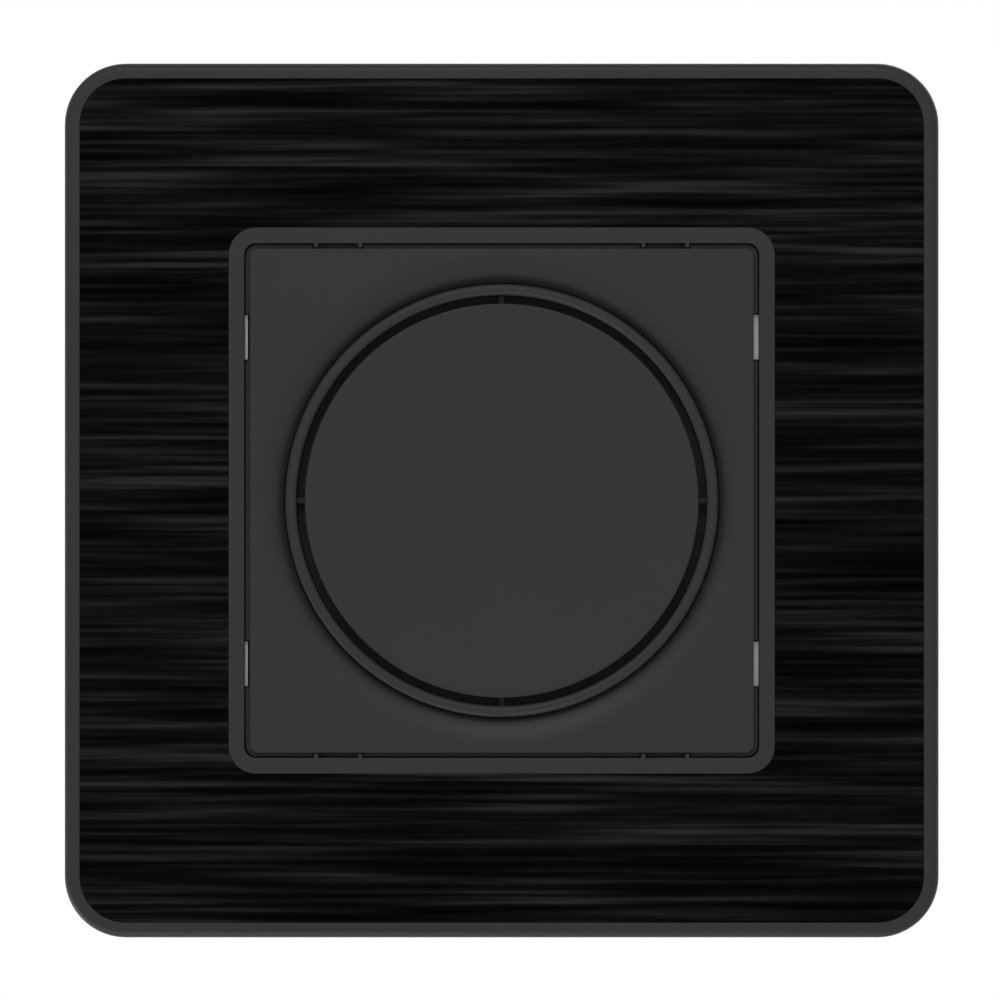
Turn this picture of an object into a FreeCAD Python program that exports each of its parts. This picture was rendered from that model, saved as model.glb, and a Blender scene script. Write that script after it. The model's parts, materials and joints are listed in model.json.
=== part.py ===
import FreeCAD, Part
import math
import os
import Sketcher

# Rotary dimmer switch for a round flush box, modelled as it hangs on the wall.
# The wall's surface is the plane Y = 0, the front faces -Y, +X is to the right and +Z is up.
# Distances called "forward" are measured from the wall towards the front, so Y = -forward,
# and whatever lies inside the wall has a negative one.

doc = FreeCAD.newDocument("RotaryDimmer")
dim = doc.addObject("Spreadsheet::Sheet", "Dim")

SIZES = [
    # Cover frame with its metal inlay
    ("plate_width", 85.0, "width and height of the cover frame"),
    ("frame_ratio", 1.7, "width of the frame as a multiple of its opening's"),
    ("plate_corner", 5.95, "corner radius of the cover frame"),
    ("plate_edge", 0.7, "rounding of the frame's front edge"),
    ("frame_front", 10.8, "forward distance of the frame's face"),
    ("border_width", 1.45, "outer border and side wall of the frame"),
    ("inner_border", 1.54, "border round the central opening"),
    ("opening_corner", 1.1, "corner radius of the central opening"),
    ("opening_edge", 0.1, "rounding of the opening's front edge"),
    ("inlay_recess", 0.9, "depth of the tray that takes the metal inlay"),
    ("inlay_thick", 0.8, "metal inlay"),
    ("inlay_gap", 0.05, "gap all round the metal inlay"),
    ("tray_thick", 1.6, "plastic floor under the inlay"),
    ("collar_lift", 0.4, "space between the bracket and the frame's ribs and collar"),
    ("frame_rib", 1.0, "stiffening ribs behind the frame"),
    ("frame_rib_place", 11.0, "distance of each stiffening rib from the middle of its side"),
    ("guide_rib", 0.38, "width of the small ribs beside the upper and lower catch places"),
    ("guide_span", 4.28, "distance between the middles of two such ribs"),
    ("guide_tall", 1.2, "length of the small ribs, back from the frame's face"),
    # Centre plate with the well for the dial
    ("centre_gap", 0.5, "gap between the centre plate and the frame's opening"),
    ("centre_proud", 0.2, "how far the centre plate stands in front of the frame"),
    ("centre_corner", 0.8, "corner radius of the centre plate"),
    ("centre_edge", 0.1, "rounding of the centre plate's front edge"),
    ("centre_thick", 2.0, "face of the centre plate"),
    ("centre_skirt", 1.2, "side walls of the centre plate"),
    ("skirt_room", 1.5, "space between the screw heads and the centre plate's side walls"),
    ("well_wall", 1.3, "wall of the dial's well"),
    ("well_floor", 1.5, "floor of the dial's well"),
    ("dish_margin", 0.6, "flat rim between the well's mouth and the centre plate's edge"),
    ("dish_width", 2.73, "rounded mouth of the well"),
    ("dish_depth", 0.65, "rounded mouth of the well"),
    ("rim_out", 0.4, "how far the plate's rim reaches into the gap round it"),
    ("rim_drop", 1.0, "how far the rim lies behind the plate's face"),
    ("rim_thick", 1.2, "rim of the plate"),
    ("slot_drop", 1.6, "how far the rim lies behind the plate's face between the frame's guide ribs"),
    ("centre_rib", 1.0, "ribs behind the centre plate's corners"),
    ("centre_rib_inset", 6.55, "distance of the corner ribs from the centre plate's edge"),
    ("centre_rib_lift", 0.5, "how far the corner ribs end in front of the side walls' rear edge"),
    # Dial
    ("well_gap", 0.2, "gap between the dial and its well"),
    ("ring_wall", 1.25, "skirt of the ring"),
    ("ring_proud", 0.6, "how far the ring's crest stands in front of the centre plate"),
    ("ring_room", 1.5, "space behind the ring when it is pressed"),
    ("ring_crest", 0.42, "rounding of both edges of the crest"),
    ("ring_band", 0.99, "front of the ring, from its outside to the groove"),
    ("groove_width", 0.83, "groove between ring and cap"),
    ("channel_depth", 2.0, "channel that carries the groove down behind the cap"),
    ("channel_overlap", 0.6, "how far the cap reaches over the channel's inner wall"),
    ("cap_round", 0.12, "rounding of the cap's edge"),
    ("web_thick", 1.1, "web of the ring, which carries the cap"),
    ("cap_proud", 0.45, "how far the cap's edge stands in front of the centre plate"),
    ("cap_thick", 1.7, "edge of the cap"),
    ("cap_hollow", 0.25, "how much lower the middle of the cap is than its edge"),
    ("nub_width", 0.5, "centring nubs in the groove"),
    ("nub_drop", 1.2, "how far the nubs stay below the cap's edge"),
    ("nub_gap", 0.03, "gap between a nub and the cap"),
    ("peg_radius", 1.25, "pegs behind the cap"),
    ("peg_gap", 0.05, "gap round each peg"),
    ("peg_length", 1.8, "length of the pegs"),
    ("hub_radius", 4.8, "hub of the ring"),
    ("hub_room", 0.6, "space between the bushing and the pressed hub"),
    ("dial_rib", 1.0, "spokes behind the web"),
    ("spoke_lift", 0.4, "how far the spokes end in front of the hub's rear end"),
    ("press_travel", 1.0, "how far the dial can be pressed in"),
    # Shaft, bushing and what clamps the centre plate
    ("shaft_radius", 3.0, "control shaft"),
    ("shaft_flat", 1.5, "distance of the shaft's flat from its axis"),
    ("shaft_inset", 0.2, "how far the shaft's tip stays behind the web's front"),
    ("shaft_gap", 0.05, "running gap round the shaft"),
    ("hub_gap", 0.02, "gap between shaft and hub"),
    ("stop_gap", 0.1, "gap between parts that stop each other"),
    ("shoulder_radius", 4.0, "collar that keeps the shaft in its bushing"),
    ("shoulder_thick", 1.0, "collar of the shaft"),
    ("bush_radius", 5.0, "thread of the bushing"),
    ("bush_proud", 0.4, "thread in front of the nut"),
    ("bush_chamfer", 0.4, "chamfer at the bushing's tip"),
    ("bush_gap", 0.1, "gap round the bushing in the plates"),
    ("bush_flange", 7.0, "radius of the bushing's flange"),
    ("flange_thick", 1.5, "flange of the bushing"),
    ("spigot_radius", 4.5, "rear spigot of the bushing"),
    ("spigot_length", 0.8, "rear spigot of the bushing"),
    ("nut_flats", 14.0, "nut across its flats"),
    ("nut_thick", 2.0, "clamping nut"),
    ("washer_radius", 8.0, "lock washer"),
    ("washer_thick", 0.4, "lock washer"),
    ("tooth_length", 1.6, "teeth round the lock washer"),
    ("tooth_space", 1.3, "space between the washer's teeth"),
    ("thread_gap", 0.02, "gap between mating threads"),
    # Mounting bracket, a folded steel sheet
    ("bracket_inset", 7.0, "how far the bracket's edge lies inside the frame's"),
    ("bracket_corner", 8.0, "cut corners of the bracket"),
    ("sheet_thick", 1.0, "steel of the bracket"),
    ("slot_margin", 5.5, "distance of each fixing slot's middle from the bracket's edge"),
    ("slot_width", 4.2, "fixing slots"),
    ("slot_length", 8.0, "fixing slots"),
    ("catch_inset", 9.1, "distance of each catch's middle from the opening's corner"),
    ("catch_height", 4.33, "catches that hold the frame"),
    ("catch_gap", 0.12, "gap between the catches and the centre plate"),
    ("catch_below", 1.9, "how far the catches end below the frame's face"),
    ("catch_lean", 0.1, "how far the catches stand to the left of their even places"),
    ("catch_room", 0.15, "free space round each catch in the frame"),
    # Housing in the wall
    ("head_gap", 0.73, "gap between the housing screws' heads and the well"),
    ("boss_margin", 5.9, "distance of the screw bosses' middles from the housing's sides"),
    ("boss_radius", 2.6, "screw bosses"),
    ("housing_corner", 8.0, "cut corners of the housing"),
    ("housing_depth", 28.0, "housing"),
    ("housing_wall", 1.6, "walls of the housing"),
    ("ledge_width", 1.2, "ledge that carries the circuit board"),
    ("screw_radius", 1.25, "housing screws"),
    ("screw_length", 8.0, "housing screws"),
    ("screw_head", 2.4, "head radius of the housing screws"),
    ("screw_head_tall", 1.5, "head of the housing screws"),
    ("pilot_spare", 1.0, "pilot hole beyond a screw's tip"),
    ("recess_reach", 1.3, "reach of the cross recess from the middle of a screw's head"),
    ("recess_width", 0.6, "arms of the cross recess and slots of the terminal screws"),
    ("recess_depth", 0.8, "cross recess and screw slots"),
    # Circuit board
    ("board_thick", 1.6, "circuit board"),
    ("board_gap", 0.2, "gap round the circuit board"),
    # Potentiometer
    ("pot_radius", 10.0, "potentiometer case"),
    ("pot_wall", 1.2, "walls of the potentiometer case"),
    ("track_thick", 1.0, "resistor track"),
    ("track_gap", 0.05, "gap round the resistor track"),
    ("rotor_margin", 0.6, "gap between the rotor and its case"),
    ("rotor_thick", 2.2, "wiper rotor"),
    ("rotor_gap", 0.3, "gap between the rotor and the pressed shaft's collar"),
    ("wiper_room", 1.8, "space between rotor and resistor track"),
    ("wiper_width", 2.4, "wiper spring"),
    ("wiper_thick", 0.3, "wiper spring"),
    ("wiper_length", 3.0, "end of the wiper spring on the rotor"),
    ("wiper_foot", 1.0, "end of the wiper spring on the track"),
    # Push switch behind the board
    ("switch_width", 16.0, "switch case"),
    ("switch_wall", 2.4, "side walls of the switch case"),
    ("switch_deep", 10.0, "switch case with its cover"),
    ("switch_cover_thick", 1.0, "cover of the switch case"),
    ("plunger_radius", 3.2, "plunger"),
    ("plunger_gap", 0.3, "gap round the plunger"),
    ("plunger_plate_gap", 0.4, "gap between the plunger's square plate and the switch case"),
    ("plunger_plate_thick", 1.2, "square plate of the plunger"),
    ("pin_radius", 1.6, "pin of the plunger inside its spring"),
    ("pin_length", 2.6, "pin of the plunger"),
    ("spring_radius", 2.5, "return spring, to the middle of its wire"),
    ("spring_wire", 0.3, "radius of the return spring's wire"),
    ("spring_seat", 0.05, "gap at both ends of the return spring"),
    ("spring_turns", 4.0, "turns of the return spring"),
    ("contact_thick", 0.3, "switch contacts"),
    ("contact_width", 2.4, "switch contacts"),
    ("bridge_inset", 1.0, "how much narrower the contact bridge is than the plunger's plate"),
    ("tongue_length", 1.6, "fixed contacts inside the switch"),
    # Terminals
    ("pole_pitch", 6.4, "distance from one terminal to the next"),
    ("cage_width", 5.4, "terminal cage"),
    ("cage_deep", 8.0, "terminal cage"),
    ("cage_roof", 0.9, "cage above its wire hole"),
    ("cage_throat", 2.8, "cage below its wire hole, which holds the screw's thread"),
    ("cage_gap", 1.3, "gap between the cages and the housing's side"),
    ("pin_width", 1.0, "solder pins of the cages"),
    ("pin_thick", 0.6, "solder pins of the cages"),
    ("wire_radius", 1.9, "wire hole of a terminal"),
    ("entry_radius", 2.5, "wire entries in the housing"),
    ("clamp_radius", 1.4, "terminal screws"),
    ("clamp_head", 1.85, "head radius of the terminal screws"),
    ("clamp_head_tall", 1.5, "head of the terminal screws"),
    ("driver_radius", 2.1, "screwdriver holes in the housing"),
    # Electronic parts
    ("choke_margin", 1.2, "space on both sides of the choke"),
    ("choke_clear", 4.1, "space between the choke and the housing's rear wall"),
    ("choke_window", 3.0, "depth of the room for the winding between the choke's flanges"),
    ("choke_flange", 1.2, "flanges of the choke's core"),
    ("choke_rim", 0.6, "how far the core's flanges stand out from the winding"),
    ("film_wide", 13.0, "film capacitor"),
    ("film_thick", 6.0, "film capacitor"),
    ("film_clear", 3.1, "space between the film capacitor and the housing's rear wall"),
    ("film_edge", 0.6, "rounded edges of the film capacitor"),
    ("triac_wide", 10.0, "power triac"),
    ("triac_thick", 4.5, "power triac"),
    ("triac_clear", 0.6, "space between the triac and the heat sink's fold"),
    ("triac_leg", 1.7, "length of the triac's legs"),
    ("triac_leg_width", 0.8, "triac's legs"),
    ("triac_leg_pitch", 2.5, "distance from one leg to the next"),
    ("sink_thick", 1.5, "heat sink"),
    ("sink_wide", 17.0, "heat sink"),
    ("sink_clear", 1.8, "space between the heat sink and the housing's rear wall"),
    ("sink_fold", 9.0, "folded end of the heat sink"),
    ("sink_gap", 0.3, "gap between heat sink and housing"),
    ("fuse_radius", 2.5, "fuse"),
    ("fuse_length", 20.0, "fuse"),
    ("fuse_cap_length", 5.0, "metal end caps of the fuse"),
    ("fuse_cap_thick", 0.2, "metal of the fuse's end caps"),
    ("fuse_lift", 1.0, "gap between fuse and circuit board"),
    ("clip_thick", 0.4, "clips of the fuse"),
    ("clip_gap", 0.05, "gap between the fuse and its clips"),
    ("clip_inset", 0.5, "end cap left free on both sides of its clip"),
    ("chip_wide", 6.4, "control chip"),
    ("chip_long", 9.6, "control chip"),
    ("chip_tall", 3.3, "control chip"),
    ("buffer_radius", 3.1, "smoothing capacitor"),
    ("buffer_tall", 7.5, "smoothing capacitor"),
    # Joins inside one piece
    ("merge", 0.2, "how deep an added form reaches into the one that carries it"),
]

for row, (alias, size, meaning) in enumerate(SIZES, 1):
    dim.set(f"A{row}", meaning)
    dim.set(f"B{row}", str(size))
    dim.setAlias(f"B{row}", alias)
doc.recompute()

bodies = []
ROUNDING = 1e-3             # largest difference between two places that count as the same


# Drawing in sketches, with every point tied to the sheet

def tie_coordinate(sketch, kind, edge, end, text):
    """Holds one coordinate of an edge's end or centre."""
    size = float(sketch.evalExpression(text))
    rule = sketch.addConstraint(Sketcher.Constraint(kind, -1, 1, edge, end, size))
    sketch.setExpression(f"Constraints[{rule}]", text)


def tie_point(sketch, edge, end, across, up):
    """Holds one end of an edge at a place given by two expressions."""
    tie_coordinate(sketch, "DistanceX", edge, end, across)
    tie_coordinate(sketch, "DistanceY", edge, end, up)


def tie_radius(sketch, edge, text):
    """Holds an arc's or a circle's radius."""
    size = float(sketch.evalExpression(text))
    rule = sketch.addConstraint(Sketcher.Constraint("Radius", edge, size))
    sketch.setExpression(f"Constraints[{rule}]", text)


def tie_arc(sketch, edge, point, following):
    """Holds an arc whose ends are placed: a half circle by its centre, any other by its radius."""
    start = FreeCAD.Vector(*(float(sketch.evalExpression(text)) for text in point[:2]), 0)
    stop = FreeCAD.Vector(*(float(sketch.evalExpression(text)) for text in following[:2]), 0)
    chord = stop - start
    if chord.Length < 2 * float(sketch.evalExpression(point[2])) - 1e-6:
        tie_radius(sketch, edge, point[2])
    elif abs(chord.x) < abs(chord.y):
        tie_coordinate(sketch, "DistanceX", edge, 3, f"(({point[0]}) + ({following[0]})) / 2")
    else:
        tie_coordinate(sketch, "DistanceY", edge, 3, f"(({point[1]}) + ({following[1]})) / 2")


def draw_outline(sketch, points):
    """Closed outline through the points. A point's third entry is the radius of an arc that leads
    to the next point, and a fourth entry, "hollow", puts the arc's centre outside the outline."""
    places = [
        FreeCAD.Vector(float(sketch.evalExpression(p[0])), float(sketch.evalExpression(p[1])), 0)
        for p in points
    ]
    count = len(points)
    turn = sum(places[i - 1].cross(places[i]).z for i in range(count))
    edges = []
    for i, point in enumerate(points):
        start = places[i]
        stop = places[(i + 1) % count]
        if len(point) == 2:
            edges.append((sketch.addGeometry(Part.LineSegment(start, stop), False), 1, 2))
            continue
        radius = float(sketch.evalExpression(point[2]))
        leftward = (turn > 0) != (len(point) == 4)
        chord = stop - start
        rise = math.sqrt(max(radius ** 2 - (chord.Length / 2) ** 2, 0.0))
        side = FreeCAD.Vector(-chord.y, chord.x, 0).normalize()
        centre = (start + stop) / 2 + side * (rise if leftward else -rise)
        first, last = (start, stop) if leftward else (stop, start)
        begin = math.atan2(first.y - centre.y, first.x - centre.x)
        end = math.atan2(last.y - centre.y, last.x - centre.x)
        if end < begin:
            end += 2 * math.pi
        circle = Part.Circle(centre, FreeCAD.Vector(0, 0, 1), radius)
        arc = sketch.addGeometry(Part.ArcOfCircle(circle, begin, end), False)
        edges.append((arc, 1, 2) if leftward else (arc, 2, 1))
    for i, point in enumerate(points):
        before = edges[i - 1]
        edge = edges[i]
        sketch.addConstraint(Sketcher.Constraint("Coincident", before[0], before[2], edge[0], edge[1]))
        tie_point(sketch, edge[0], edge[1], point[0], point[1])
        if len(point) > 2:
            tie_arc(sketch, edge[0], point, points[(i + 1) % count])


def draw_circle(sketch, across, up, radius):
    """Circle with its centre and radius tied to the sheet."""
    centre = FreeCAD.Vector(float(sketch.evalExpression(across)), float(sketch.evalExpression(up)), 0)
    size = float(sketch.evalExpression(radius))
    circle = sketch.addGeometry(Part.Circle(centre, FreeCAD.Vector(0, 0, 1), size), False)
    tie_point(sketch, circle, 3, across, up)
    tie_radius(sketch, circle, radius)


def draw_box(sketch, left, low, right, high):
    """Plain rectangle between two corners."""
    draw_outline(sketch, [(left, low), (right, low), (right, high), (left, high)])


def draw_rounded_square(sketch, half, radius):
    """Square about the middle with rounded corners."""
    inner = f"({half}) - ({radius})"
    draw_outline(sketch, [
        (inner, f"-({half})", radius), (half, f"-({inner})"),
        (half, inner, radius), (inner, half),
        (f"-({inner})", half, radius), (f"-({half})", inner),
        (f"-({half})", f"-({inner})", radius), (f"-({inner})", f"-({half})"),
    ])


def draw_cut_square(sketch, half, cut):
    """Square about the middle with its corners cut off."""
    inner = f"({half}) - ({cut})"
    draw_outline(sketch, [
        (inner, f"-({half})"), (half, f"-({inner})"),
        (half, inner), (inner, half),
        (f"-({inner})", half), (f"-({half})", inner),
        (f"-({half})", f"-({inner})"), (f"-({inner})", f"-({half})"),
    ])


# Solids from sketches

def new_body(name):
    """Body of one sub-part, listed so that it is checked and written."""
    body = doc.addObject("PartDesign::Body", name)
    body.Label = name
    body.AllowCompound = True
    bodies.append(body)
    return body


def new_sketch(body, name, role, offset):
    """Sketch on one of the body's own origin planes, moved along the plane's normal."""
    sketch = body.newObject("Sketcher::SketchObject", f"{body.Name}_{name}_sketch")
    plane = next(p for p in body.Origin.OriginFeatures if p.Role == role)
    sketch.AttachmentSupport = [(plane, "")]
    sketch.MapMode = "FlatFace"
    sketch.setExpression("AttachmentOffset.Base.z", offset)
    return sketch


def pad(body, name, start, stop, draw, role="XZ_Plane"):
    """Solid from start to stop. On the XZ plane both are distances forward of the wall, on the XY
    plane they are heights and on the YZ plane distances to the right."""
    sketch = new_sketch(body, name, role, start)
    draw(sketch)
    feature = body.newObject("PartDesign::Pad", f"{body.Name}_{name}")
    feature.Profile = sketch
    feature.setExpression("Length", f"({stop}) - ({start})")
    return feature


def pocket(body, name, start, stop, draw, role="XZ_Plane"):
    """Cut from stop back to start, measured as for a pad."""
    sketch = new_sketch(body, name, role, stop)
    draw(sketch)
    feature = body.newObject("PartDesign::Pocket", f"{body.Name}_{name}")
    feature.Profile = sketch
    feature.setExpression("Length", f"({stop}) - ({start})")
    return feature


def turned(body, name, points, kind="PartDesign::Revolution"):
    """Solid or groove turned about the shaft's axis from points given as radius and forward."""
    sketch = new_sketch(body, name, "XY_Plane", "0")
    draw_outline(sketch, [(p[0], f"-({p[1]})", *p[2:]) for p in points])
    feature = body.newObject(kind, f"{body.Name}_{name}")
    feature.Profile = sketch
    feature.ReferenceAxis = (sketch, ["V_Axis"])
    feature.Angle = 360
    return feature


def repeat_round(body, name, feature, count):
    """Copies of a feature evenly round the shaft's axis."""
    axis = next(a for a in body.Origin.OriginFeatures if a.Role == "Y_Axis")
    pattern = body.newObject("PartDesign::PolarPattern", f"{body.Name}_{name}")
    pattern.Originals = [feature]
    pattern.Axis = (axis, [""])
    pattern.Angle = 360
    pattern.Occurrences = count
    body.Tip = pattern
    return pattern


def round_edges(body, name, radius, wanted):
    """Fillet on the edges that the rule picks out of the body's last feature."""
    doc.recompute()
    base = body.Tip
    edges = [f"Edge{i}" for i, edge in enumerate(base.Shape.Edges, 1) if wanted(edge)]
    fillet = body.newObject("PartDesign::Fillet", f"{body.Name}_{name}")
    fillet.Base = (base, edges)
    fillet.setExpression("Radius", radius)
    return fillet


def size_of(text):
    """Present value of an expression over the sheet."""
    return float(doc.getObject(bodies[0].Name).evalExpression(text))


def lies_on_rim(edge, forward, half):
    """True for an edge in the plane at that forward distance that runs along a square's outline."""
    box = edge.BoundBox
    flat = abs(box.YMin + forward) < ROUNDING and box.YLength < ROUNDING
    reach = max(abs(box.XMin), abs(box.XMax), abs(box.ZMin), abs(box.ZMax))
    return flat and abs(reach - half) < ROUNDING


# Cover frame: one moulding with an outer border, a tray for the inlay and a collar round the opening

cover_frame = new_body("cover_frame")
HALF_PLATE = "Dim.plate_width / 2"
HALF_TRAY = "(Dim.plate_width / 2 - Dim.border_width)"
HALF_OPENING = "(Dim.plate_width / Dim.frame_ratio / 2)"
HALF_COLLAR = f"({HALF_OPENING} + Dim.inner_border)"
TRAY_CORNER = "(Dim.plate_corner - Dim.border_width)"
COLLAR_CORNER = "(Dim.opening_corner + Dim.inner_border)"
TRAY_FLOOR = "(Dim.frame_front - Dim.inlay_recess)"
TRAY_BACK = "(Dim.frame_front - Dim.inlay_recess - Dim.tray_thick)"
BRACKET_FRONT = "Dim.sheet_thick"
COLLAR_BACK = "(Dim.sheet_thick + Dim.collar_lift)"
HALF_CENTRE = f"({HALF_OPENING} - Dim.centre_gap)"
CATCH_PLACE = f"({HALF_OPENING} - Dim.catch_inset)"
CATCH_INNER = f"({HALF_CENTRE} + Dim.catch_gap)"
CATCH_OUTER = f"({CATCH_INNER} + Dim.sheet_thick)"
CATCH_TIP = "(Dim.frame_front - Dim.catch_below)"
CATCH_HALF_ROOM = "(Dim.catch_height / 2 + Dim.catch_room)"

pad(cover_frame, "block", "0", "Dim.frame_front",
    lambda s: draw_rounded_square(s, HALF_PLATE, "Dim.plate_corner"))
round_edges(cover_frame, "front_edge", "Dim.plate_edge",
            lambda e: lies_on_rim(e, size_of("Dim.frame_front"), size_of(HALF_PLATE)))


def draw_frame_hollow(sketch):
    """Space between the side walls and the collar."""
    draw_rounded_square(sketch, HALF_TRAY, TRAY_CORNER)
    draw_rounded_square(sketch, HALF_COLLAR, COLLAR_CORNER)


def draw_frame_ribs(sketch):
    """Two ribs on each side, from the side wall to the collar."""
    for side in (-1, 1):
        near = f"{side} * ({HALF_OPENING} + Dim.inner_border / 2)"
        far = f"{side} * (Dim.plate_width / 2 - Dim.border_width / 2)"
        for place in (-1, 1):
            low = f"{place} * Dim.frame_rib_place - Dim.frame_rib / 2"
            high = f"{place} * Dim.frame_rib_place + Dim.frame_rib / 2"
            draw_box(sketch, near, low, far, high)
            draw_box(sketch, low, near, high, far)


def draw_places(sketch, near, far, half, upright):
    """Two rectangles in each upright or level side of a square, at the places of the catches."""
    for side in (-1, 1):
        for place in (-1, 1):
            low = f"{place} * {CATCH_PLACE} - {half}"
            high = f"{place} * {CATCH_PLACE} + {half}"
            if upright:
                draw_box(sketch, f"{side} * {near}", low, f"{side} * {far}", high)
            else:
                draw_box(sketch, low, f"{side} * {near}", high, f"{side} * {far}")


def draw_catch_recesses(sketch):
    """Free space for a catch at all eight places behind the opening's edge."""
    for upright in (True, False):
        draw_places(sketch, f"({HALF_OPENING} - Dim.merge)",
                    f"({CATCH_OUTER} + Dim.catch_lean + Dim.catch_room)", CATCH_HALF_ROOM, upright)


def draw_guide_ribs(sketch):
    """Small ribs beside the upper and lower catch places."""
    for side in (-1, 1):
        near = f"{side} * {CATCH_INNER}"
        far = f"{side} * ({HALF_OPENING} + Dim.inner_border / 2)"
        for place in (-1, 1):
            for edge in (-1, 1):
                middle = f"{place} * {CATCH_PLACE} + {edge} * Dim.guide_span / 2"
                draw_box(sketch, f"{middle} - Dim.guide_rib / 2", near,
                         f"{middle} + Dim.guide_rib / 2", far)


pocket(cover_frame, "hollow", "0", TRAY_BACK, draw_frame_hollow)
pocket(cover_frame, "tray", TRAY_FLOOR, "Dim.frame_front", draw_frame_hollow)
pad(cover_frame, "ribs", COLLAR_BACK, TRAY_BACK, draw_frame_ribs)
pocket(cover_frame, "opening", "0", "Dim.frame_front",
       lambda s: draw_rounded_square(s, HALF_OPENING, "Dim.opening_corner"))
round_edges(cover_frame, "opening_edge", "Dim.opening_edge",
            lambda e: lies_on_rim(e, size_of("Dim.frame_front"), size_of(HALF_OPENING)))
pocket(cover_frame, "collar_back", "0", COLLAR_BACK,
       lambda s: draw_rounded_square(s, f"{HALF_COLLAR} + Dim.catch_room", COLLAR_CORNER))
pocket(cover_frame, "catch_recesses", COLLAR_BACK, f"{CATCH_TIP} + Dim.catch_room",
       draw_catch_recesses)
pad(cover_frame, "guide_ribs", "Dim.frame_front - Dim.guide_tall", "Dim.frame_front", draw_guide_ribs)


# Metal inlay lying in the frame's tray

metal_inlay = new_body("metal_inlay")


def draw_inlay(sketch):
    """Square ring that fills the tray but for a thin gap."""
    draw_rounded_square(sketch, f"{HALF_TRAY} - Dim.inlay_gap", f"{TRAY_CORNER} - Dim.inlay_gap")
    draw_rounded_square(sketch, f"{HALF_COLLAR} + Dim.inlay_gap", f"{COLLAR_CORNER} + Dim.inlay_gap")


pad(metal_inlay, "sheet", TRAY_FLOOR, f"{TRAY_FLOOR} + Dim.inlay_thick", draw_inlay)


# Centre plate: a thin box with a cup in it, whose rounded mouth is the dial's well

centre_plate = new_body("centre_plate")
CENTRE_FRONT = "(Dim.frame_front + Dim.centre_proud)"
CENTRE_BACK = f"({CENTRE_FRONT} - Dim.centre_thick)"
FLOOR_FRONT = "(Dim.sheet_thick + Dim.well_floor)"
DISH_RADIUS = f"({HALF_CENTRE} - Dim.dish_margin)"
WELL_RADIUS = f"({DISH_RADIUS} - Dim.dish_width)"
CUP_RADIUS = f"({WELL_RADIUS} + Dim.well_wall)"
MOUTH_RADIUS = "((Dim.dish_width^2 + Dim.dish_depth^2) / (2 * Dim.dish_depth))"
HALF_SKIRT = f"({HALF_CENTRE} - Dim.centre_skirt)"
SKIRT_BACK = "(Dim.sheet_thick + Dim.screw_head_tall + Dim.skirt_room)"
CENTRE_RIB_PLACE = f"({HALF_CENTRE} - Dim.centre_rib_inset)"
HALF_RIM = f"({HALF_CENTRE} + Dim.rim_out)"
RIM_FRONT = f"({CENTRE_FRONT} - Dim.rim_drop)"
RIM_BACK = f"({RIM_FRONT} - Dim.rim_thick)"


def draw_skirt_hollow(sketch):
    """Inside of the side walls."""
    draw_box(sketch, f"-{HALF_SKIRT}", f"-{HALF_SKIRT}", HALF_SKIRT, HALF_SKIRT)


def draw_corner_ribs(sketch, upright):
    """Ribs that join the cup to the side walls behind the four corners."""
    start = f"sqrt(({WELL_RADIUS} + Dim.well_wall / 2)^2 - {CENTRE_RIB_PLACE}^2)"
    end = f"({HALF_CENTRE} - Dim.centre_skirt / 2)"
    for side in (-1, 1):
        low = f"{side} * {CENTRE_RIB_PLACE} - Dim.centre_rib / 2"
        high = f"{side} * {CENTRE_RIB_PLACE} + Dim.centre_rib / 2"
        for place in (-1, 1):
            if upright:
                draw_box(sketch, low, f"{place} * {start}", high, f"{place} * {end}")
            else:
                draw_box(sketch, f"{place} * {start}", low, f"{place} * {end}", high)


def draw_rim(sketch):
    """Rim that centres the plate in the frame's opening."""
    draw_rounded_square(sketch, HALF_RIM, "Dim.opening_corner")
    draw_box(sketch, f"-{HALF_SKIRT}", f"-{HALF_SKIRT}", HALF_SKIRT, HALF_SKIRT)


def draw_rim_gaps(sketch, half, upright):
    """Gaps that let the catches or the frame's guide ribs through the rim."""
    draw_places(sketch, HALF_CENTRE, f"({HALF_RIM} + Dim.merge)", half, upright)


pad(centre_plate, "block", SKIRT_BACK, CENTRE_FRONT,
    lambda s: draw_rounded_square(s, HALF_CENTRE, "Dim.centre_corner"))
round_edges(centre_plate, "front_edge", "Dim.centre_edge",
            lambda e: lies_on_rim(e, size_of(CENTRE_FRONT), size_of(HALF_CENTRE)))
pocket(centre_plate, "skirt_hollow", SKIRT_BACK, CENTRE_BACK, draw_skirt_hollow)
pad(centre_plate, "rim", RIM_BACK, RIM_FRONT, draw_rim)
pocket(centre_plate, "catch_gaps", RIM_BACK, RIM_FRONT,
       lambda s: draw_rim_gaps(s, CATCH_HALF_ROOM, True))
pocket(centre_plate, "rib_gaps", f"{CENTRE_FRONT} - Dim.slot_drop", RIM_FRONT,
       lambda s: draw_rim_gaps(s, "((Dim.guide_span + Dim.guide_rib) / 2 + Dim.catch_room)", False))
pad(centre_plate, "cup", BRACKET_FRONT, f"{CENTRE_BACK} + Dim.merge",
    lambda s: draw_circle(s, "0", "0", CUP_RADIUS))
for name, upright in (("upright_ribs", True), ("level_ribs", False)):
    pad(centre_plate, name, f"{SKIRT_BACK} + Dim.centre_rib_lift", f"{CENTRE_BACK} + Dim.merge",
        lambda s: draw_corner_ribs(s, upright))
turned(centre_plate, "well", [
    ("0", FLOOR_FRONT),
    (WELL_RADIUS, FLOOR_FRONT),
    (WELL_RADIUS, f"{CENTRE_FRONT} - Dim.dish_depth", MOUTH_RADIUS, "hollow"),
    (DISH_RADIUS, CENTRE_FRONT),
    ("0", CENTRE_FRONT),
], "PartDesign::Groove")
pocket(centre_plate, "bushing_hole", BRACKET_FRONT, FLOOR_FRONT,
       lambda s: draw_circle(s, "0", "0", "Dim.bush_radius + Dim.bush_gap"))


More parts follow.
